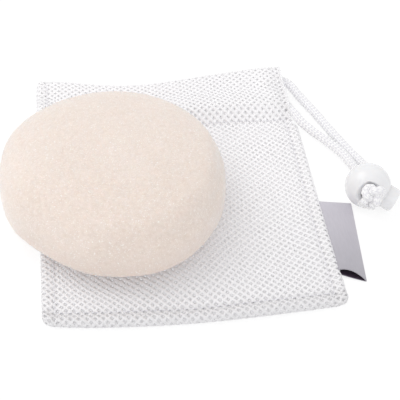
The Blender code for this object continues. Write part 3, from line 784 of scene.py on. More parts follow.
def netSteps():
    # Two grids of tiles, the second set between the first, welded to one net.
    steps = Steps("netOfTiles", (
        ("Tile", "Object"), ("Columns", "Int"), ("Rows", "Int"), ("Pitch X", "Float"),
        ("Pitch Y", "Float"), ("Shift", "Vector"), ("Material", "Material"),
    ))
    columns, rows = steps.input("Columns"), steps.input("Rows")
    pitchX, pitchY = steps.input("Pitch X"), steps.input("Pitch Y")
    grid = steps.node("GeometryNodeMeshGrid", inputs={
        "Size X": (columns - 1) * pitchX, "Size Y": (rows - 1) * pitchY,
        "Vertices X": columns, "Vertices Y": rows,
    })
    half = steps.node("ShaderNodeCombineXYZ", inputs={0: pitchX / 2, 1: pitchY / 2})
    second = steps.node("GeometryNodeTransform", inputs={"Geometry": grid, "Translation": half})
    both = steps.node("GeometryNodeJoinGeometry", inputs={0: [grid, second]})
    shift = {"Geometry": both, "Translation": steps.input("Shift")}
    moved = steps.node("GeometryNodeTransform", inputs=shift)
    tiles = {"Points": moved, "Instance": steps.objectIn("Tile")}
    placed = steps.node("GeometryNodeInstanceOnPoints", inputs=tiles)
    real = steps.node("GeometryNodeRealizeInstances", inputs={"Geometry": placed})
    weld = {"Geometry": real, "Distance": net["weld"]}
    return steps.finish(steps.node("GeometryNodeMergeByDistance", inputs=weld))


def middleOf(cloth):
    return (cloth["start"] + cloth["end"]) / 2


def flatNet(cloth, keep):
    # A flat net cut to shape. Threads on its border close to an edge.
    middle = middleOf(cloth)
    mesh = bake(netTree, bpy.data.meshes.new("start"), {
        "Tile": tile, "Columns": 2 * math.ceil(cloth["width"] / net["pitchX"] / 2) + 1,
        "Rows": 2 * math.ceil((cloth["end"] - cloth["start"]) / net["pitchY"] / 2) + 1,
        "Pitch X": net["pitchX"], "Pitch Y": net["pitchY"], "Shift": (0.0, middle, 0.0),
        "Material": netLook.material,
    })
    bm = bmesh.new()
    bm.from_mesh(mesh)
    bpy.data.meshes.remove(mesh)
    # Each face is kept or cut with the whole of its tile.
    tiles = tileCentres(np.array([f.calc_center_median()[:2] for f in bm.faces]), middle)
    kept = keep(tiles[:, 0], tiles[:, 1])
    cut = [f for f, stays in zip(list(bm.faces), kept) if not stays]
    bmesh.ops.delete(bm, geom=cut, context="FACES")
    border = [v for v in bm.verts if v.is_boundary]
    spot = {v: (round(v.co.x / mm, 2), round(v.co.y / mm, 2)) for v in border}
    below = {spot[v]: v for v in border if v.co.z < 0}
    for edge in [e for e in bm.edges if e.is_boundary and e.verts[0].co.z > 0]:
        c, d = edge.verts
        bm.faces.new((d, c, below[spot[c]], below[spot[d]]))
    for v in border:
        v.co.z *= net["border"]
    bmesh.ops.recalc_face_normals(bm, faces=bm.faces)
    made = fromBmesh("net", bm)
    made.materials.append(netLook.material)
    return made


def ridge(name, value):
    place, width, height = lie[name]
    return height * bell(place, width, value)


def rise(name, value):
    start, end, height = lie[name]
    return height * smoothstep(start, end, value)


def casingFloor(y):
    # Top of the back casing, which the front casing lies on.
    return lie["backTop"] + rise("backRise", y)


def frontHeight(x, y):
    # The upper sheet lies flat under the sponge, and its creases and seams rise around it.
    away = np.hypot(x - spongeSize["x"], y - spongeSize["y"])
    free = smoothstep(40 * mm, 54 * mm, away)
    waves = np.sin(x / (8.5 * mm) + y / (23 * mm) + 1.1) * np.sin(y / (12.5 * mm) + 0.4)
    seam = ridge("seamRidge", np.abs(x)) - ridge("seamGroove", np.abs(x))
    seam = seam * (0.35 + 0.65 * free)
    hem = rise("hemRise", y) - ridge("hemGroove", y)
    casing = rise("casingRise", y) - ridge("casingGroove", y)
    crease = lie["crease"] * waves * free * (1 + 0.8 * smoothstep(34 * mm, 43 * mm, y))
    return lie["top"] + crease + seam + hem + casing


def swayed(u, v, phase):
    # Net is never laid quite square: its threads wander away from the edges.
    inner = smoothstep(52 * mm, 40 * mm, np.abs(u)) * smoothstep(62 * mm, 48 * mm, np.abs(v))
    aside = np.sin(v / (15.0 * mm) + phase) + 0.6 * np.sin(v / (8.5 * mm) + u / (21 * mm) + 2 * phase)
    onward = np.sin(u / (13.0 * mm) + 1.7 * phase) + 0.5 * np.sin(u / (9.0 * mm) - v / (17 * mm))
    return u + lie["sway"] * inner * aside, v + 0.8 * lie["sway"] * inner * onward


def evenEdge(u, v, start):
    # Draws the stepped border of the tiles in to a straight cut edge, from a start on.
    over = np.maximum(u - lie["straight"], 0) * 0.7
    return u - over * smoothstep(start + 0.6 * mm, start + 2.8 * mm, v)


def unrolled(u, v, cloth):
    # How far each point of the flat cloth lies beyond its flat core, and which way.
    outX = np.sign(u) * np.maximum(np.abs(u) - cloth["core"], 0)
    outY = np.where(v > cloth["far"], v - cloth["far"], np.minimum(v - cloth["near"], 0))
    beyond = np.hypot(outX, outY)
    safe = np.maximum(beyond, 1e-9)
    x, y = np.clip(u, -cloth["core"], cloth["core"]), np.clip(v, cloth["near"], cloth["far"])
    return outX / safe, outY / safe, beyond, x, y


def folded(half, reach, beyond):
    # The turn of a fold at a distance along it, and how far past the fold that is.
    quarter = np.pi / 2 * np.sqrt((half**2 + reach**2) / 2)
    turn = beyond / quarter * np.pi / 2
    return turn, (turn - np.pi) / (np.pi / 2) * quarter


def frontFold(u, v):
    wayX, wayY, beyond, x, y = unrolled(u, v, frontCloth)
    mouth = np.where(wayY > 0, wayY**2, 0.0)
    ground, raised = frontCloth["ground"], casingFloor(frontCloth["far"]) + frontCloth["apart"]
    ground = ground + (raised - ground) * mouth
    half = (frontHeight(x, y) - ground) / 2
    reach = frontCloth["side"] + (frontCloth["fold"] - frontCloth["side"]) * mouth
    turn, inside = folded(half, reach, beyond)
    return SimpleNamespace(wayX=wayX, wayY=wayY, x=x, y=y, ground=ground, half=half, reach=reach,
                           turn=turn, inside=inside)


def frontSurface(u, v):
    u, v = swayed(u, v, 0.6)
    fold = frontFold(evenEdge(u, v, frontCloth["openFrom"]), v)
    inside = np.maximum(fold.inside, 0)
    turn = np.minimum(fold.turn, np.pi)
    across = fold.reach * np.sin(turn)
    y = fold.y + fold.wayY * (across - inside)
    z = fold.ground + fold.half + fold.half * np.cos(turn)
    z = np.where(inside > 0, casingFloor(y) + frontCloth["apart"], z)
    return np.stack((*onDrape(fold.x + fold.wayX * across, y), z), axis=1)


def frontKeep(u, v):
    fold = frontFold(u, v)
    lined = (fold.wayY > 0.999) & (fold.inside < frontCloth["lining"])
    # The right fold runs out where the cord leaves.
    runsOut = 1 - 0.62 * smoothstep(22 * mm, 33 * mm, v) * (u > 0) * (v < 45 * mm)
    kept = (fold.turn <= frontCloth["wrap"] * runsOut) | lined
    return kept & ~((v > frontCloth["openFrom"]) & (u > frontCloth["open"]))


def inCasing(turn):
    # What lies past the mouth's fold is inside its casing.
    return smoothstep(np.pi, np.pi + 0.5, turn)


def frontPaintedGlow(u, v):
    # Parts folded under count as below and get more painted glow. Less glow towards and on the hem, and
    # where the casing ends, is painted shade there.
    fold = frontFold(u, v)
    below = np.where(fold.wayY > 0.5, inCasing(fold.turn), smoothstep(1.7, 2.5, fold.turn))
    paintedShade = sum(share * smoothstep(start, end, v) for start, end, share in net["hemPaintedShade"])
    paintedShade = paintedShade + net["endPaintedShade"] * smoothstep(42 * mm, 53 * mm, u) * bell(50 * mm, 15 * mm, v)
    return below - paintedShade


def backFold(u, v):
    _, wayY, beyond, x, y = unrolled(u, v, backCloth)
    half = (casingFloor(backCloth["far"]) - backCloth["apart"] - backCloth["ground"]) / 2
    turn, inside = folded(half, backCloth["fold"], beyond)
    return SimpleNamespace(wayY=wayY, x=x, y=y, half=half, turn=turn, inside=inside)


def backSurface(u, v):
    u, v = swayed(u, v, 2.4)
    fold = backFold(evenEdge(u, v, -80 * mm), v)
    inside = np.maximum(fold.inside, 0)
    turn = np.where(fold.wayY > 0, np.minimum(fold.turn, np.pi), 0)
    y = fold.y + fold.wayY * (backCloth["fold"] * np.sin(turn) - inside)
    z = backCloth["ground"] + fold.half * (1 - np.cos(turn))
    z = np.where(inside > 0, casingFloor(y) - backCloth["apart"], z)
    return np.stack((*onDrape(fold.x, y), z), axis=1)


def backKeep(u, v):
    inside = backFold(u, v).inside
    return (np.abs(u) < backCloth["core"]) & (v > backCloth["near"]) & (inside < backCloth["lining"])


def backPaintedGlow(u, v):
    # All of the back sheet lies below and gets more painted glow, but for its fold at the mouth.
    turn = backFold(u, v).turn
    return 1 - smoothstep(0.1, 0.6, turn) + inCasing(turn)


def tileCentres(spots, middle):
    # The centre of the diamond that each spot of the flat net lies in.
    pitch = np.array((net["pitchX"], net["pitchY"]))
    spots = (spots - (0, middle)) / pitch
    first, second = np.round(spots), np.floor(spots) + 0.5
    nearer = np.abs(spots - first).sum(1) < np.abs(spots - second).sum(1)
    return np.where(nearer[:, None], first, second) * pitch + (0, middle)


def narrowed(flat, middle):
    # Holes are pulled small where the casing is sewn double, most of all at its far edge and its
    # right end, and stay open along its two grooves.
    centres = tileCentres(flat[:, :2], middle)
    u, v = centres.T
    start, end, small = pulled["casing"]
    casing = smoothstep(start, end, v)
    share = 1 - small * casing
    for place, width, wide in pulled["grooves"]:
        share = share + wide * bell(place, width, v)
    share = share * (1 + pulled["uneven"] * np.sin(u / (1.9 * mm)) * np.sin(v / (2.3 * mm) + 1.0))
    start, end, small = pulled["rightEnd"]
    share = share * (1 - small * smoothstep(start, end, u) * casing)
    start, end, small = pulled["farEdge"]
    share = share * (1 - small * smoothstep(start, end, v))
    hole = np.abs(flat[:, 2]) < 0.01 * mm
    share = np.where(hole, share, 1.0)[:, None]
    return centres + (flat[:, :2] - centres) * share


def normalOn(surface, u, v):
    small = 0.05 * mm
    normal = np.cross(surface(u + small, v) - surface(u - small, v),
                      surface(u, v + small) - surface(u, v - small))
    return normal / np.maximum(np.linalg.norm(normal, axis=1), 1e-12)[:, None]


def overCord(laid, v):
    # The upper sheet lies over the cord in its casing, and under it where the cord has left.
    strand = stretches["strandNear"]["line"]
    strand = strand[strand[:, 1] > lie["cordFrom"]]
    reach = cordSize["radius"] + lie["overCord"]
    near = (v < frontCloth["far"] + 1.0 * mm) & (laid[:, 1] > lie["cordFrom"])
    spots, height = laid[near], laid[near, 2]
    above, below = height.copy(), height.copy()
    for x, y, z in np.concatenate((stretches["casedCord"]["line"][::6], strand[::6])):
        away = (spots[:, 0] - x) ** 2 + (spots[:, 1] - y) ** 2
        hump = np.sqrt(np.maximum(reach**2 - away, 0))
        above = np.maximum(above, np.where(hump > 0, z + hump, 0))
        below = np.minimum(below, np.where(hump > 0, np.maximum(z - hump, lie["underCord"]), 1))
    over = smoothstep(*lie["overFrom"], v[near])
    laid[near, 2] = above * over + below * (1 - over)


def makeNet(cloth, keep, surface, under, settle=None):
    # The flat net laid on its surface. Its own height goes along the surface's normal.
    mesh = flatNet(cloth, keep)
    flat = coordinates(mesh)
    flat[:, :2] = narrowed(flat, middleOf(cloth))
    u, v, w = flat.T
    addAttribute(mesh, "crest", np.abs(w) / net["thread"])
    addAttribute(mesh, "under", under(u, v))
    laid = surface(u, v) + normalOn(surface, u, v) * w[:, None]
    if settle:
        settle(laid, v)
    setCoordinates(mesh, laid)
    return outward(mesh)


def netFinish():
    finish = Finish("knittedNet", Roughness=0.7, Sheen_Weight=0.3, Sheen_Roughness=0.35,
                    Emission_Strength=1.0)
    fibres = finish.noise(2300.0, 3.0)
    # Painted shade: the threads are darker towards the holes' rims, where the crest is low, mixed with
    # random fibre tone.
    depth = (finish.attribute("crest").between(0.0, 1.2) * 0.9 + fibres * 0.25).clamped()
    colour = finish.mixed(depth, net["deep"], net["light"])
    finish.feed("Base Color", colour)
    # Painted glow: an emission stands in for light that wanders on through the fibres, strongest in their
    # hollows and on the layers below.
    glow = depth * (net["crestGlow"] - net["hollowGlow"]) + finish.attribute("under") * net["underGlow"]
    finish.feed("Emission Color", glow + net["hollowGlow"])
    finish.bump(fibres, net["fuzz"], 0.7)
    finish.letThrough(colour, net["through"])
    return finish


tile = netTile()
netTree = netSteps()
netLook = netFinish()
frontMesh = makeNet(frontCloth, frontKeep, frontSurface, frontPaintedGlow, overCord)
netFront = piece("netFront", frontMesh, None, "pouch",
                 ["front_panel", "front_casing", "left_seam", "right_seam", "bottom_seam"])
backMesh = makeNet(backCloth, backKeep, backSurface, backPaintedGlow)
netBack = piece("netBack", backMesh, None, "pouch", ["back_panel", "back_casing"])
bpy.data.objects.remove(tile)
print("nets have", len(frontMesh.polygons), "and", len(backMesh.polygons), "faces")


# Sewing: rows of stitches along the seams, and a rolled edge round the casings' open end

sewing = {
    "gap": 1.55 * mm, "length": 0.95 * mm, "thread": 0.20 * mm, "dip": 0.25 * mm, "lift": 0.34 * mm,
    "seam": 50.4 * mm, "hem": -61.5 * mm, "casing": 35.6 * mm, "seed": 5,
    "edge": 52.6 * mm, "edgeThread": 0.42 * mm, "light": (0.90, 0.89, 0.92), "deep": (0.76, 0.75, 0.80),
}
edgeKnit = dict(knit, columns=3, sides=14, step=0.25 * mm, stitch=1.1 * mm, relief=0.16 * mm)


def stitchShape():
    # One stitch: a short arch of thread whose two ends dip into the cloth.
    half, flat, dip = sewing["length"] / 2, sewing["length"] * 0.3, sewing["dip"]
    spine = np.array([(-half, 0, -dip), (-flat, 0, 0), (flat, 0, 0), (half, 0, -dip)])
    around = circle(6)
    section = sewing["thread"] * np.stack((0 * around, np.cos(around), np.sin(around)), axis=1)
    return newObject("stitch", tubeMesh("stitch", spine[:, None] + section, 0.6, spine))


def stitchSteps():
    # Stitches at even gaps along each row, turned along it and not quite alike.
    steps = Steps("rowOfStitches", (
        ("Stitch", "Object"), ("Gap", "Float"), ("Seed", "Int"), ("Material", "Material"),
    ))
    rows = Wire(steps.tree, steps.entry.outputs["Geometry"])
    curve = steps.node("GeometryNodeMeshToCurve", inputs={"Mesh": rows})
    even = {"Curve": curve, "Length": steps.input("Gap")}
    spots = steps.node("GeometryNodeResampleCurve", {"mode": "LENGTH"}, even)
    ahead = steps.node("GeometryNodeInputTangent")
    turned = steps.node("FunctionNodeAlignRotationToVector", {"axis": "X"}, {"Vector": ahead})
    sizes = {2: 0.86, 3: 1.12, "Seed": steps.input("Seed")}
    uneven = steps.node("FunctionNodeRandomValue", {"data_type": "FLOAT"}, sizes, output=1)
    return steps.finish(steps.node("GeometryNodeInstanceOnPoints", inputs={
        "Points": spots, "Instance": steps.objectIn("Stitch"), "Rotation": turned, "Scale": uneven,
    }))


def clothLine(u, v, lift):
    # A line on the upper sheet, lifted off it along its normal.
    u, v = np.broadcast_arrays(u, v)
    return frontSurface(u, v) + normalOn(frontSurface, u, v) * lift


def sewnRows():
    # Right seam, left seam, near hem and the casing's near edge.
    near, lift = -60.5 * mm, sewing["lift"]
    rows = [
        clothLine(sewing["seam"], np.linspace(near, 31.0 * mm, 160), lift),
        clothLine(-sewing["seam"], np.linspace(near, 61.0 * mm, 200), lift),
        clothLine(np.linspace(-49.5 * mm, 49.5 * mm, 160), sewing["hem"], lift),
        clothLine(np.linspace(-50.0 * mm, 50.0 * mm, 160), sewing["casing"], lift),
    ]
    edges, first = [], 0
    for row in rows:
        edges += [(first + k, first + k + 1) for k in range(len(row) - 1)]
        first += len(row)
    mesh = bpy.data.meshes.new("rows")
    mesh.from_pydata(np.concatenate(rows).tolist(), edges, [])
    return mesh


def threadFinish():
    finish = Finish("sewingThread", Roughness=0.6, Sheen_Weight=0.3)
    twist = finish.noise(3200.0, 2.0)
    finish.feed("Base Color", finish.mixed(twist, sewing["deep"], sewing["light"]))
    finish.bump(twist, 0.05 * mm, 0.5)
    return finish


def makeMouthEdge():
    along = np.linspace(frontCloth["openFrom"] + 2.0 * mm, frontCloth["far"] + 9.0 * mm, 120)
    route = clothLine(sewing["edge"], along, 0.0)
    overCord(route, along)
    _, line, rings, relief = knitTube(route, sewing["edgeThread"], edgeKnit)
    return tubeMesh("mouthEdge", rings, relief, line)


stitch = stitchShape()
stitchMesh = bake(stitchSteps(), sewnRows(), {
    "Stitch": stitch, "Gap": sewing["gap"], "Seed": sewing["seed"], "Material": threadFinish().material,
})
stitchMesh.shade_smooth()
bpy.data.objects.remove(stitch)
piece("seamStitches", outward(stitchMesh), None, "pouch")
piece("mouthEdge", makeMouthEdge(), cordLook, "pouch")
print("stitches have", len(stitchMesh.polygons), "faces")


# Label: a folded satin tab sewn to the right seam

label = {
    "corners": ((54.6, -14.1), (67.6, -15.1), (64.3, -55.9), (54.2, -51.9)), "sheet": 0.30 * mm,
    "gape": (0.30 * mm, 2.1 * mm), "fold": 0.25 * mm, "lie": 0.35 * mm, "root": 1.1 * mm,
    "drawn": 1.2 * mm, "weave": 0.06 * mm,
    "satin": ((0.64, 0.615, 0.68), (0.43, 0.415, 0.46)), "inner": ((0.035, 0.018, 0.04),) * 2,
}


def makeLabel():
    # A strip that runs out on top, turns at the fold and comes back underneath.
    a, b, c, d = (np.array(corner) * mm for corner in label["corners"])
    rows, half, turns = 90, 34, 12
    outs = np.linspace(0, 1, half)
    base = label["lie"] + label["root"] * (1 - outs) ** 2
    lens = np.sin(np.pi * (0.08 + 0.92 * outs)) ** 0.8
    radius = label["fold"]
    closed, wide = label["gape"]
    grid = []
    for s in np.linspace(0, 1, rows):
        root, fold = a + (d - a) * s, b + (c - b) * s
        gape = closed + (wide - closed) * s**2.2
        way = unit(fold - root)
        strip = []
        for out, low, raised in zip(outs, base, lens):
            # The raised sheet is drawn back a little, as its free edge shows.
            spot = root + (fold - root) * out + np.array((0.0, 1.0)) * label["drawn"] * raised * s**3
            strip.append((*spot, low + 2 * radius + gape * raised))
        for k in range(1, turns):
            turn = math.pi * k / turns
            spot = fold + way * radius * math.sin(turn)
            strip.append((*spot, base[-1] + radius + radius * math.cos(turn)))
        for out, low in zip(outs[::-1], base[::-1]):
            strip.append((*(root + (fold - root) * out), low))
        grid.append(strip)
    return np.array(grid)


def slab(name, grid, thickness):
    # A closed sheet of even thickness about a grid of points, and which faces are its first side.
    rows, columns = grid.shape[:2]
    normal = np.cross(np.gradient(grid, axis=1), np.gradient(grid, axis=0))
    normal /= np.maximum(np.linalg.norm(normal, axis=2), 1e-12)[..., None]
    outer, inner = grid + normal * thickness / 2, grid - normal * thickness / 2
    points = np.concatenate((outer.reshape(-1, 3), inner.reshape(-1, 3)))
    faces = gridFaces(rows, columns)
    count = rows * columns
    inside = [tuple(count + i for i in reversed(face)) for face in faces]
    ring = [c for c in range(columns)] + [r * columns + columns - 1 for r in range(1, rows)]
    ring += [(rows - 1) * columns + c for c in range(columns - 2, -1, -1)]
    ring += [r * columns for r in range(rows - 2, 0, -1)]
    rim = [(ring[k], ring[k - 1], count + ring[k - 1], count + ring[k]) for k in range(len(ring))]
    down = np.tile(np.repeat(np.linspace(0, 1, rows), columns), 2)
    mesh = meshOf(name, points, faces + inside + rim, {"down": down})
    addAttribute(mesh, "side", [float(k < len(faces)) for k in range(len(mesh.polygons))], "FACE")
    return outward(mesh)


def satinFinish(name, colours):
    # The first colour is at the label's far end and the second at its free end; the free end's darker
    # colour is painted shade.
    finish = Finish(name, Roughness=0.42, Sheen_Weight=0.25, Anisotropic=0.5)
    stretched = {"Vector": finish.place(), "Scale": (2200.0, 260.0, 2200.0)}
    threads = finish.noise(1.0, 2.0, place=finish.node("ShaderNodeMapping", inputs=stretched))
    shade = finish.noise(60.0, 2.0)
    mix = (threads * 0.6 + shade * 0.5).between(0.25, 0.85)
    down = finish.attribute("down")
    light = finish.mixed(down, *colours)
    dark = finish.mixed(down, *(tuple(c * 0.86 for c in colour) for colour in colours))
    finish.feed("Base Color", finish.mixed(mix, dark, light))
    finish.bump(threads, label["weave"], 0.5)
    return finish


labelMesh = slab("sideLabel", makeLabel(), label["sheet"])
sideLabel = piece("sideLabel", labelMesh, satinFinish("labelSatin", label["satin"]),
                  "pouch", ["label_tab"])
# The faces inside the fold get a near-black finish: painted shade inside the fold.
labelMesh.materials.append(satinFinish("labelInside", label["inner"]).material)
faceSide = np.zeros(len(labelMesh.polygons), np.float32)
labelMesh.attributes["side"].data.foreach_get("value", faceSide)
upward = labelMesh.polygons[0].normal.z > 0
for polygon, side in zip(labelMesh.polygons, faceSide):
    polygon.material_index = int((side > 0.5) != upward)
print("label made")


# Ball lock: a moulded ball with a flared cord hole, its button and the spring under it

plastic = {
    "voxel": 0.20 * mm, "buttonVoxel": 0.16 * mm, "colour": (0.865, 0.865, 0.88), "lip": 0.25 * mm,
    "edge": 0.6 * mm, "crown": 0.10 * mm, "overrun": 2 * mm,
}
spring = {"wire": 0.25 * mm, "radius": 2.9 * mm, "turns": 3.5, "gap": 0.3 * mm}
slotShift = lockSize["holeShift"] + lockSize["press"]
collarTop = slotShift - lockSize["holeHeight"] / 2 - cordSize["seat"]
collarFloor = collarTop - lockSize["collarHeight"]


def holeSolid(name, length, shift, flare):
    # A rounded slot along local X, wider at its mouths.
    count, stations = 48, 41
    cos, sin = np.cos(circle(count)), np.sin(circle(count))
    start = lockSize["radius"] - lockSize["flareDepth"]
    rings = []
    for x in np.linspace(-length / 2, length / 2, stations):
        out = max((abs(x) - start) / lockSize["flareDepth"], 0.0)
        grow = flare * out * out
        y = (lockSize["holeWidth"] / 2 + grow) * np.sign(cos) * np.abs(cos) ** 0.5
        z = (lockSize["holeHeight"] / 2 + grow) * np.sign(sin) * np.abs(sin) ** 0.5
        rings.append(np.stack((np.full(count, x), y, z + shift), axis=1))
    ends = np.array(((-length / 2, 0, shift), (length / 2, 0, shift)))
    return newObject(name, tubeMesh(name, np.array(rings), 0.0, ends))


def turnedSolid(name, profile, sides=96):
    # The profile's first and last points lie on the axis.
    cos, sin = np.cos(circle(sides)), np.sin(circle(sides))
    rings = np.array([np.stack((x * cos, x * sin, np.full(sides, z)), axis=1) for x, z in profile[1:-1]])
    ends = np.array(((0, 0, profile[0][1]), (0, 0, profile[-1][1])))
    return newObject(name, tubeMesh(name, rings, 0.0, ends))


def moulded(name, body, cutter, voxel, passes):
    # The cut body with its edges softened, as moulding leaves them.
    cut = body.modifiers.new("cut", "BOOLEAN")
    cut.operation = "DIFFERENCE"
    cut.solver = "EXACT"
    cut.object = cutter
    body.data = evaluated(body)
    body.modifiers.clear()
    remesh = body.modifiers.new("remesh", "REMESH")
    remesh.mode = "VOXEL"
    remesh.voxel_size = voxel
    smooth = body.modifiers.new("smooth", "SMOOTH")
    smooth.factor = 0.5
    smooth.iterations = passes
    mesh = evaluated(body)
    mesh.name = name
    for obj in (body, cutter):
        bpy.data.objects.remove(obj)
    mesh.shade_smooth()
    return mesh


def ballProfile():
    # Up the chamber and over the button's lip, then down the outside to the far pole.
    radius, shaft = lockSize["radius"], lockSize["shaft"]
    lip = shaft + lockSize["fit"]
    chamber = shaft + lockSize["collar"] + lockSize["fit"]
    ledge = slotShift - lockSize["holeHeight"] / 2
    first = math.asin((lip + plastic["lip"]) / radius)
    profile = [(0, -lockSize["floor"]), (chamber, -lockSize["floor"]), (chamber, ledge), (lip, ledge)]
    profile.append((lip, radius * math.cos(first) - plastic["lip"]))
    for k in range(49):
        turn = first + (math.pi - first) * k / 48
        profile.append((radius * math.sin(turn) if k < 48 else 0, radius * math.cos(turn)))
    return profile


def buttonProfile():
    # A slightly domed end, a rounded edge, the shaft and the collar that the lip holds back.
    shaft, top, edge, crown = lockSize["shaft"], lockSize["button"], plastic["edge"], plastic["crown"]
    collar = shaft + lockSize["collar"]
    profile = [(shaft * share, top - crown * share**2) for share in (0, 0.3, 0.6, 0.8)]
    for k in range(7):
        turn = math.pi / 2 * k / 6
        profile.append((shaft - edge * (1 - math.sin(turn)), top - crown - edge * (1 - math.cos(turn))))
    profile += [(shaft, collarTop + crown), (collar, collarTop), (collar, collarFloor)]
    return profile + [(0, collarFloor)]


def makeBall():
    # The remeshed ball's outside is put back on its true radius.
    ball = turnedSolid("ball", ballProfile())
    length = 2 * lockSize["radius"] + plastic["overrun"]
    hole = holeSolid("hole", length, lockSize["holeShift"], lockSize["flare"])
    mesh = moulded("lockBody", ball, hole, plastic["voxel"], 6)
    points = coordinates(mesh)
    away = np.linalg.norm(points, axis=1)
    outside = np.abs(away - lockSize["radius"]) < 0.09 * mm
    points[outside] *= (lockSize["radius"] / away[outside])[:, None]
    setCoordinates(mesh, points)
    return mesh


def makeButton():
    button = turnedSolid("button", buttonProfile())
    slot = holeSolid("slot", 2 * lockSize["shaft"] + plastic["overrun"], slotShift, 0)
    return moulded("lockButton", button, slot, plastic["buttonVoxel"], 3)


def makeSpring(low, high):
    # An open coil from the chamber's floor to the button.
    turn = np.linspace(0, 2 * np.pi * spring["turns"], 260)
    coil = np.stack((
        spring["radius"] * np.cos(turn), spring["radius"] * np.sin(turn),
        low + (high - low) * turn / turn[-1],
    ), axis=1)
    _, line, side, up = evenLine(coil, 0.28 * mm)
    return tubeMesh("lockSpring", ringsAlong(line, side, up, circle(12), spring["wire"]), 0.0, line)


def plasticFinish():
    finish = Finish("lockPlastic", Roughness=0.22, IOR=1.49, Coat_Weight=0.25, Coat_Roughness=0.08,
                    Subsurface_Weight=0.5, Subsurface_Scale=2.0 * mm,
                    Subsurface_Radius=(1.0, 0.95, 0.9))
    cloud = finish.noise(220.0, 3.0)
    fine = finish.noise(1500.0, 2.0)
    cool = tuple(c * 0.95 for c in plastic["colour"])
    finish.feed("Base Color", finish.mixed(cloud, cool, plastic["colour"]))
    finish.feed("Roughness", fine * 0.12 + 0.16)
    finish.bump(cloud, 0.10 * mm, 0.15)
    return finish


def steelFinish():
    finish = Finish("springSteel", Metallic=1.0, Roughness=0.28)
    drawn = finish.noise(900.0, 2.0)
    finish.feed("Base Color", finish.mixed(drawn, (0.50, 0.50, 0.51), (0.66, 0.66, 0.67)))
    finish.feed("Roughness", drawn * 0.2 + 0.2)
    return finish


def lockPiece(name, mesh, finish, body, stands):
    mesh.transform(lock)
    return piece(name, mesh, finish, body, stands)


plasticLook = plasticFinish()
lockBody = lockPiece("lockBody", makeBall(), plasticLook, "lock", ["lock_body"])
lockButton = lockPiece("lockButton", makeButton(), plasticLook, "plunger", ["lock_plunger"])
low = -lockSize["floor"] + spring["gap"] + spring["wire"]
high = collarFloor - spring["gap"] - spring["wire"]
springMesh = makeSpring(low, high)
lockSpring = lockPiece("lockSpring", springMesh, steelFinish(), "lock", ["lock_spring"])
keep = 1 - lockSize["press"] / (high + lockSize["floor"] + spring["wire"])
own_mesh(lockSpring)
print("lock made:", len(lockBody.data.polygons), "and", len(lockButton.data.polygons), "faces")


# Sponge: a thick puck of fine open foam

foam = {
    "cells": 126, "light": (0.885, 0.79, 0.73), "deep": (0.745, 0.64, 0.57), "sparkle": (1.0, 0.975, 0.95),
    "low": (0.80, 0.66, 0.585), "grain": 0.22 * mm,
    "lumps": ((20.0 * mm, 0.45 * mm), (6.5 * mm, 0.10 * mm), (2.1 * mm, 0.05 * mm), (1.1 * mm, 0.10 * mm)),
    "shoulder": (0.74, 0.20, 0.80 * mm), "valley": (0.36, 0.17, -0.90 * mm), "shoulderSide": -32.0,
    "calmFrom": 4 * mm, "calmTo": 0.6 * mm, "calm": 0.15, "paintedShadeFrom": 17 * mm, "paintedShadeShare": 0.8,
}


def roundGrid(count):
    # Six square grids drawn onto a ball, which have no poles.
    steps = np.tan(np.linspace(-1, 1, count + 1) * np.pi / 4)
    across, along = np.meshgrid(steps, steps, indexing="ij")
    points, faces = [], []
    for axis in range(3):
        for sign in (-1, 1):
            face = np.zeros((count + 1, count + 1, 3))
            face[..., axis] = sign
            face[..., (axis + 1) % 3] = across * sign
            face[..., (axis + 2) % 3] = along
            faces += gridFaces(count + 1, count + 1, first=len(points) * (count + 1) ** 2)
            points.append(face.reshape(-1, 3))
    points = np.concatenate(points)
    points /= np.linalg.norm(points, axis=1)[:, None]
    keys = np.round(points * 1e6).astype(np.int64)
    _, firsts, owner = np.unique(keys, axis=0, return_index=True, return_inverse=True)
    owner = owner.ravel()
    return points[firsts], [tuple(int(owner[i]) for i in face) for face in faces]


def puck(around, slope):
    # A broad crown over a rounder belly, on a plan that is not quite round.
    power = np.where(slope >= 0, spongeSize["crownPower"], spongeSize["bellyPower"])
    out = np.maximum(np.cos(slope), 0) ** (2 / power)
    up = np.abs(np.sin(slope)) ** (2 / power)
    plan = 1.0 + sum(c * np.cos(k * around) + s * np.sin(k * around) for k, c, s in spongeSize["plan"])
    for place, width, share in spongeSize["bulges"]:
        plan = plan + share * bell(math.radians(place), math.radians(width), np.mod(around, 2 * np.pi))
    radius = spongeSize["radius"] * out * plan
    waist = spongeSize["waist"]
    above = np.where(slope >= 0, (spongeSize["height"] - waist) * up, -waist * up)
    return np.stack((
        spongeSize["x"] + radius * np.cos(around), spongeSize["y"] + radius * np.sin(around),
        spongeSize["base"] + waist + above,
    ), axis=1)


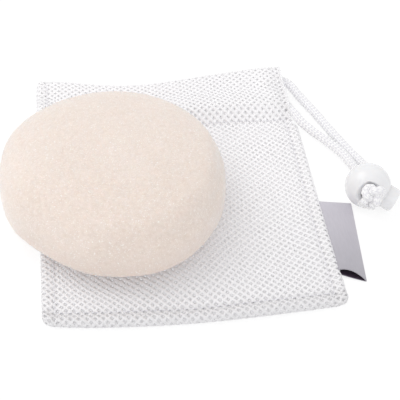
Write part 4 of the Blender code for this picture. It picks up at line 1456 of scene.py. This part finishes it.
def makeSponge():
    directions, faces = roundGrid(foam["cells"])
    around = np.arctan2(directions[:, 1], directions[:, 0])
    slope = np.arcsin(np.clip(directions[:, 2], -1, 1))
    points = puck(around, slope)
    mesh = outward(meshOf("spongePuff", points, faces))
    normals = np.zeros(len(points) * 3)
    mesh.vertex_normals.foreach_get("vector", normals)
    height = np.zeros(len(points))
    for k, (size, depth) in enumerate(foam["lumps"]):
        shift = Vector((3.1, 7.7, 1.3)) * k
        lumps = np.array([noise.noise(Vector(p) / size + shift) for p in points])
        height += depth * lumps
    height -= height.max() * 0.25
    # On one side the crown ends in a soft shoulder above the side wall.
    facing = (0.5 + 0.5 * np.cos(around - math.radians(foam["shoulderSide"]))) ** 1.5
    for name in ("shoulder", "valley"):
        place, width, depth = foam[name]
        height += depth * facing * bell(place, width, slope)
    # Near its seat the surface is calmer, and nothing goes below the seat.
    base = spongeSize["base"]
    rough = smoothstep(base + foam["calmTo"], base + foam["calmFrom"], points[:, 2])
    calm = foam["calm"] + (1 - foam["calm"]) * rough
    points = points + normals.reshape(-1, 3) * (height * calm)[:, None]
    points[:, 2] = np.maximum(points[:, 2], base + 0.02 * mm)
    setCoordinates(mesh, points)
    # The finest lumps also show in the foam's colour.
    addAttribute(mesh, "grain", lumps + 0.5)
    # Painted shade: the foam turns darker and redder towards its seat.
    addAttribute(mesh, "low", foam["paintedShadeShare"] * smoothstep(base + foam["paintedShadeFrom"], base, points[:, 2]))
    return mesh


def foamFinish():
    finish = Finish("spongeFoam", Roughness=0.9, Sheen_Weight=0.65, Sheen_Roughness=0.4,
                    Subsurface_Weight=0.55, Subsurface_Scale=2.2 * mm,
                    Subsurface_Radius=(1.0, 0.8, 0.65), Specular_IOR_Level=0.3)
    fine = finish.noise(2700.0, 2.0, 0.6)
    cells = finish.node("ShaderNodeTexVoronoi", inputs={"Vector": finish.place(), "Scale": 2100.0})
    soft = finish.noise(70.0, 3.0)
    depth = (finish.attribute("grain") * 0.35 + fine * 1.3 + soft * 0.35 - 0.475).clamped()
    body = finish.mixed(depth, foam["deep"], foam["light"])
    # Painted shade towards the seat, carried by the low attribute.
    body = finish.mixed(finish.attribute("low"), body, foam["low"])
    bright = finish.noise(2100.0, 1.0, 0.5).between(0.64, 0.72)
    finish.feed("Base Color", finish.mixed(bright * 0.85, body, foam["sparkle"]))
    finish.bump(fine * 0.7 + cells * 0.5, foam["grain"], 0.7)
    return finish


spongeMesh = makeSponge()
spongePuff = piece("spongePuff", spongeMesh, foamFinish(), "sponge", ["sponge"])
print("sponge has", len(spongeMesh.polygons), "faces")
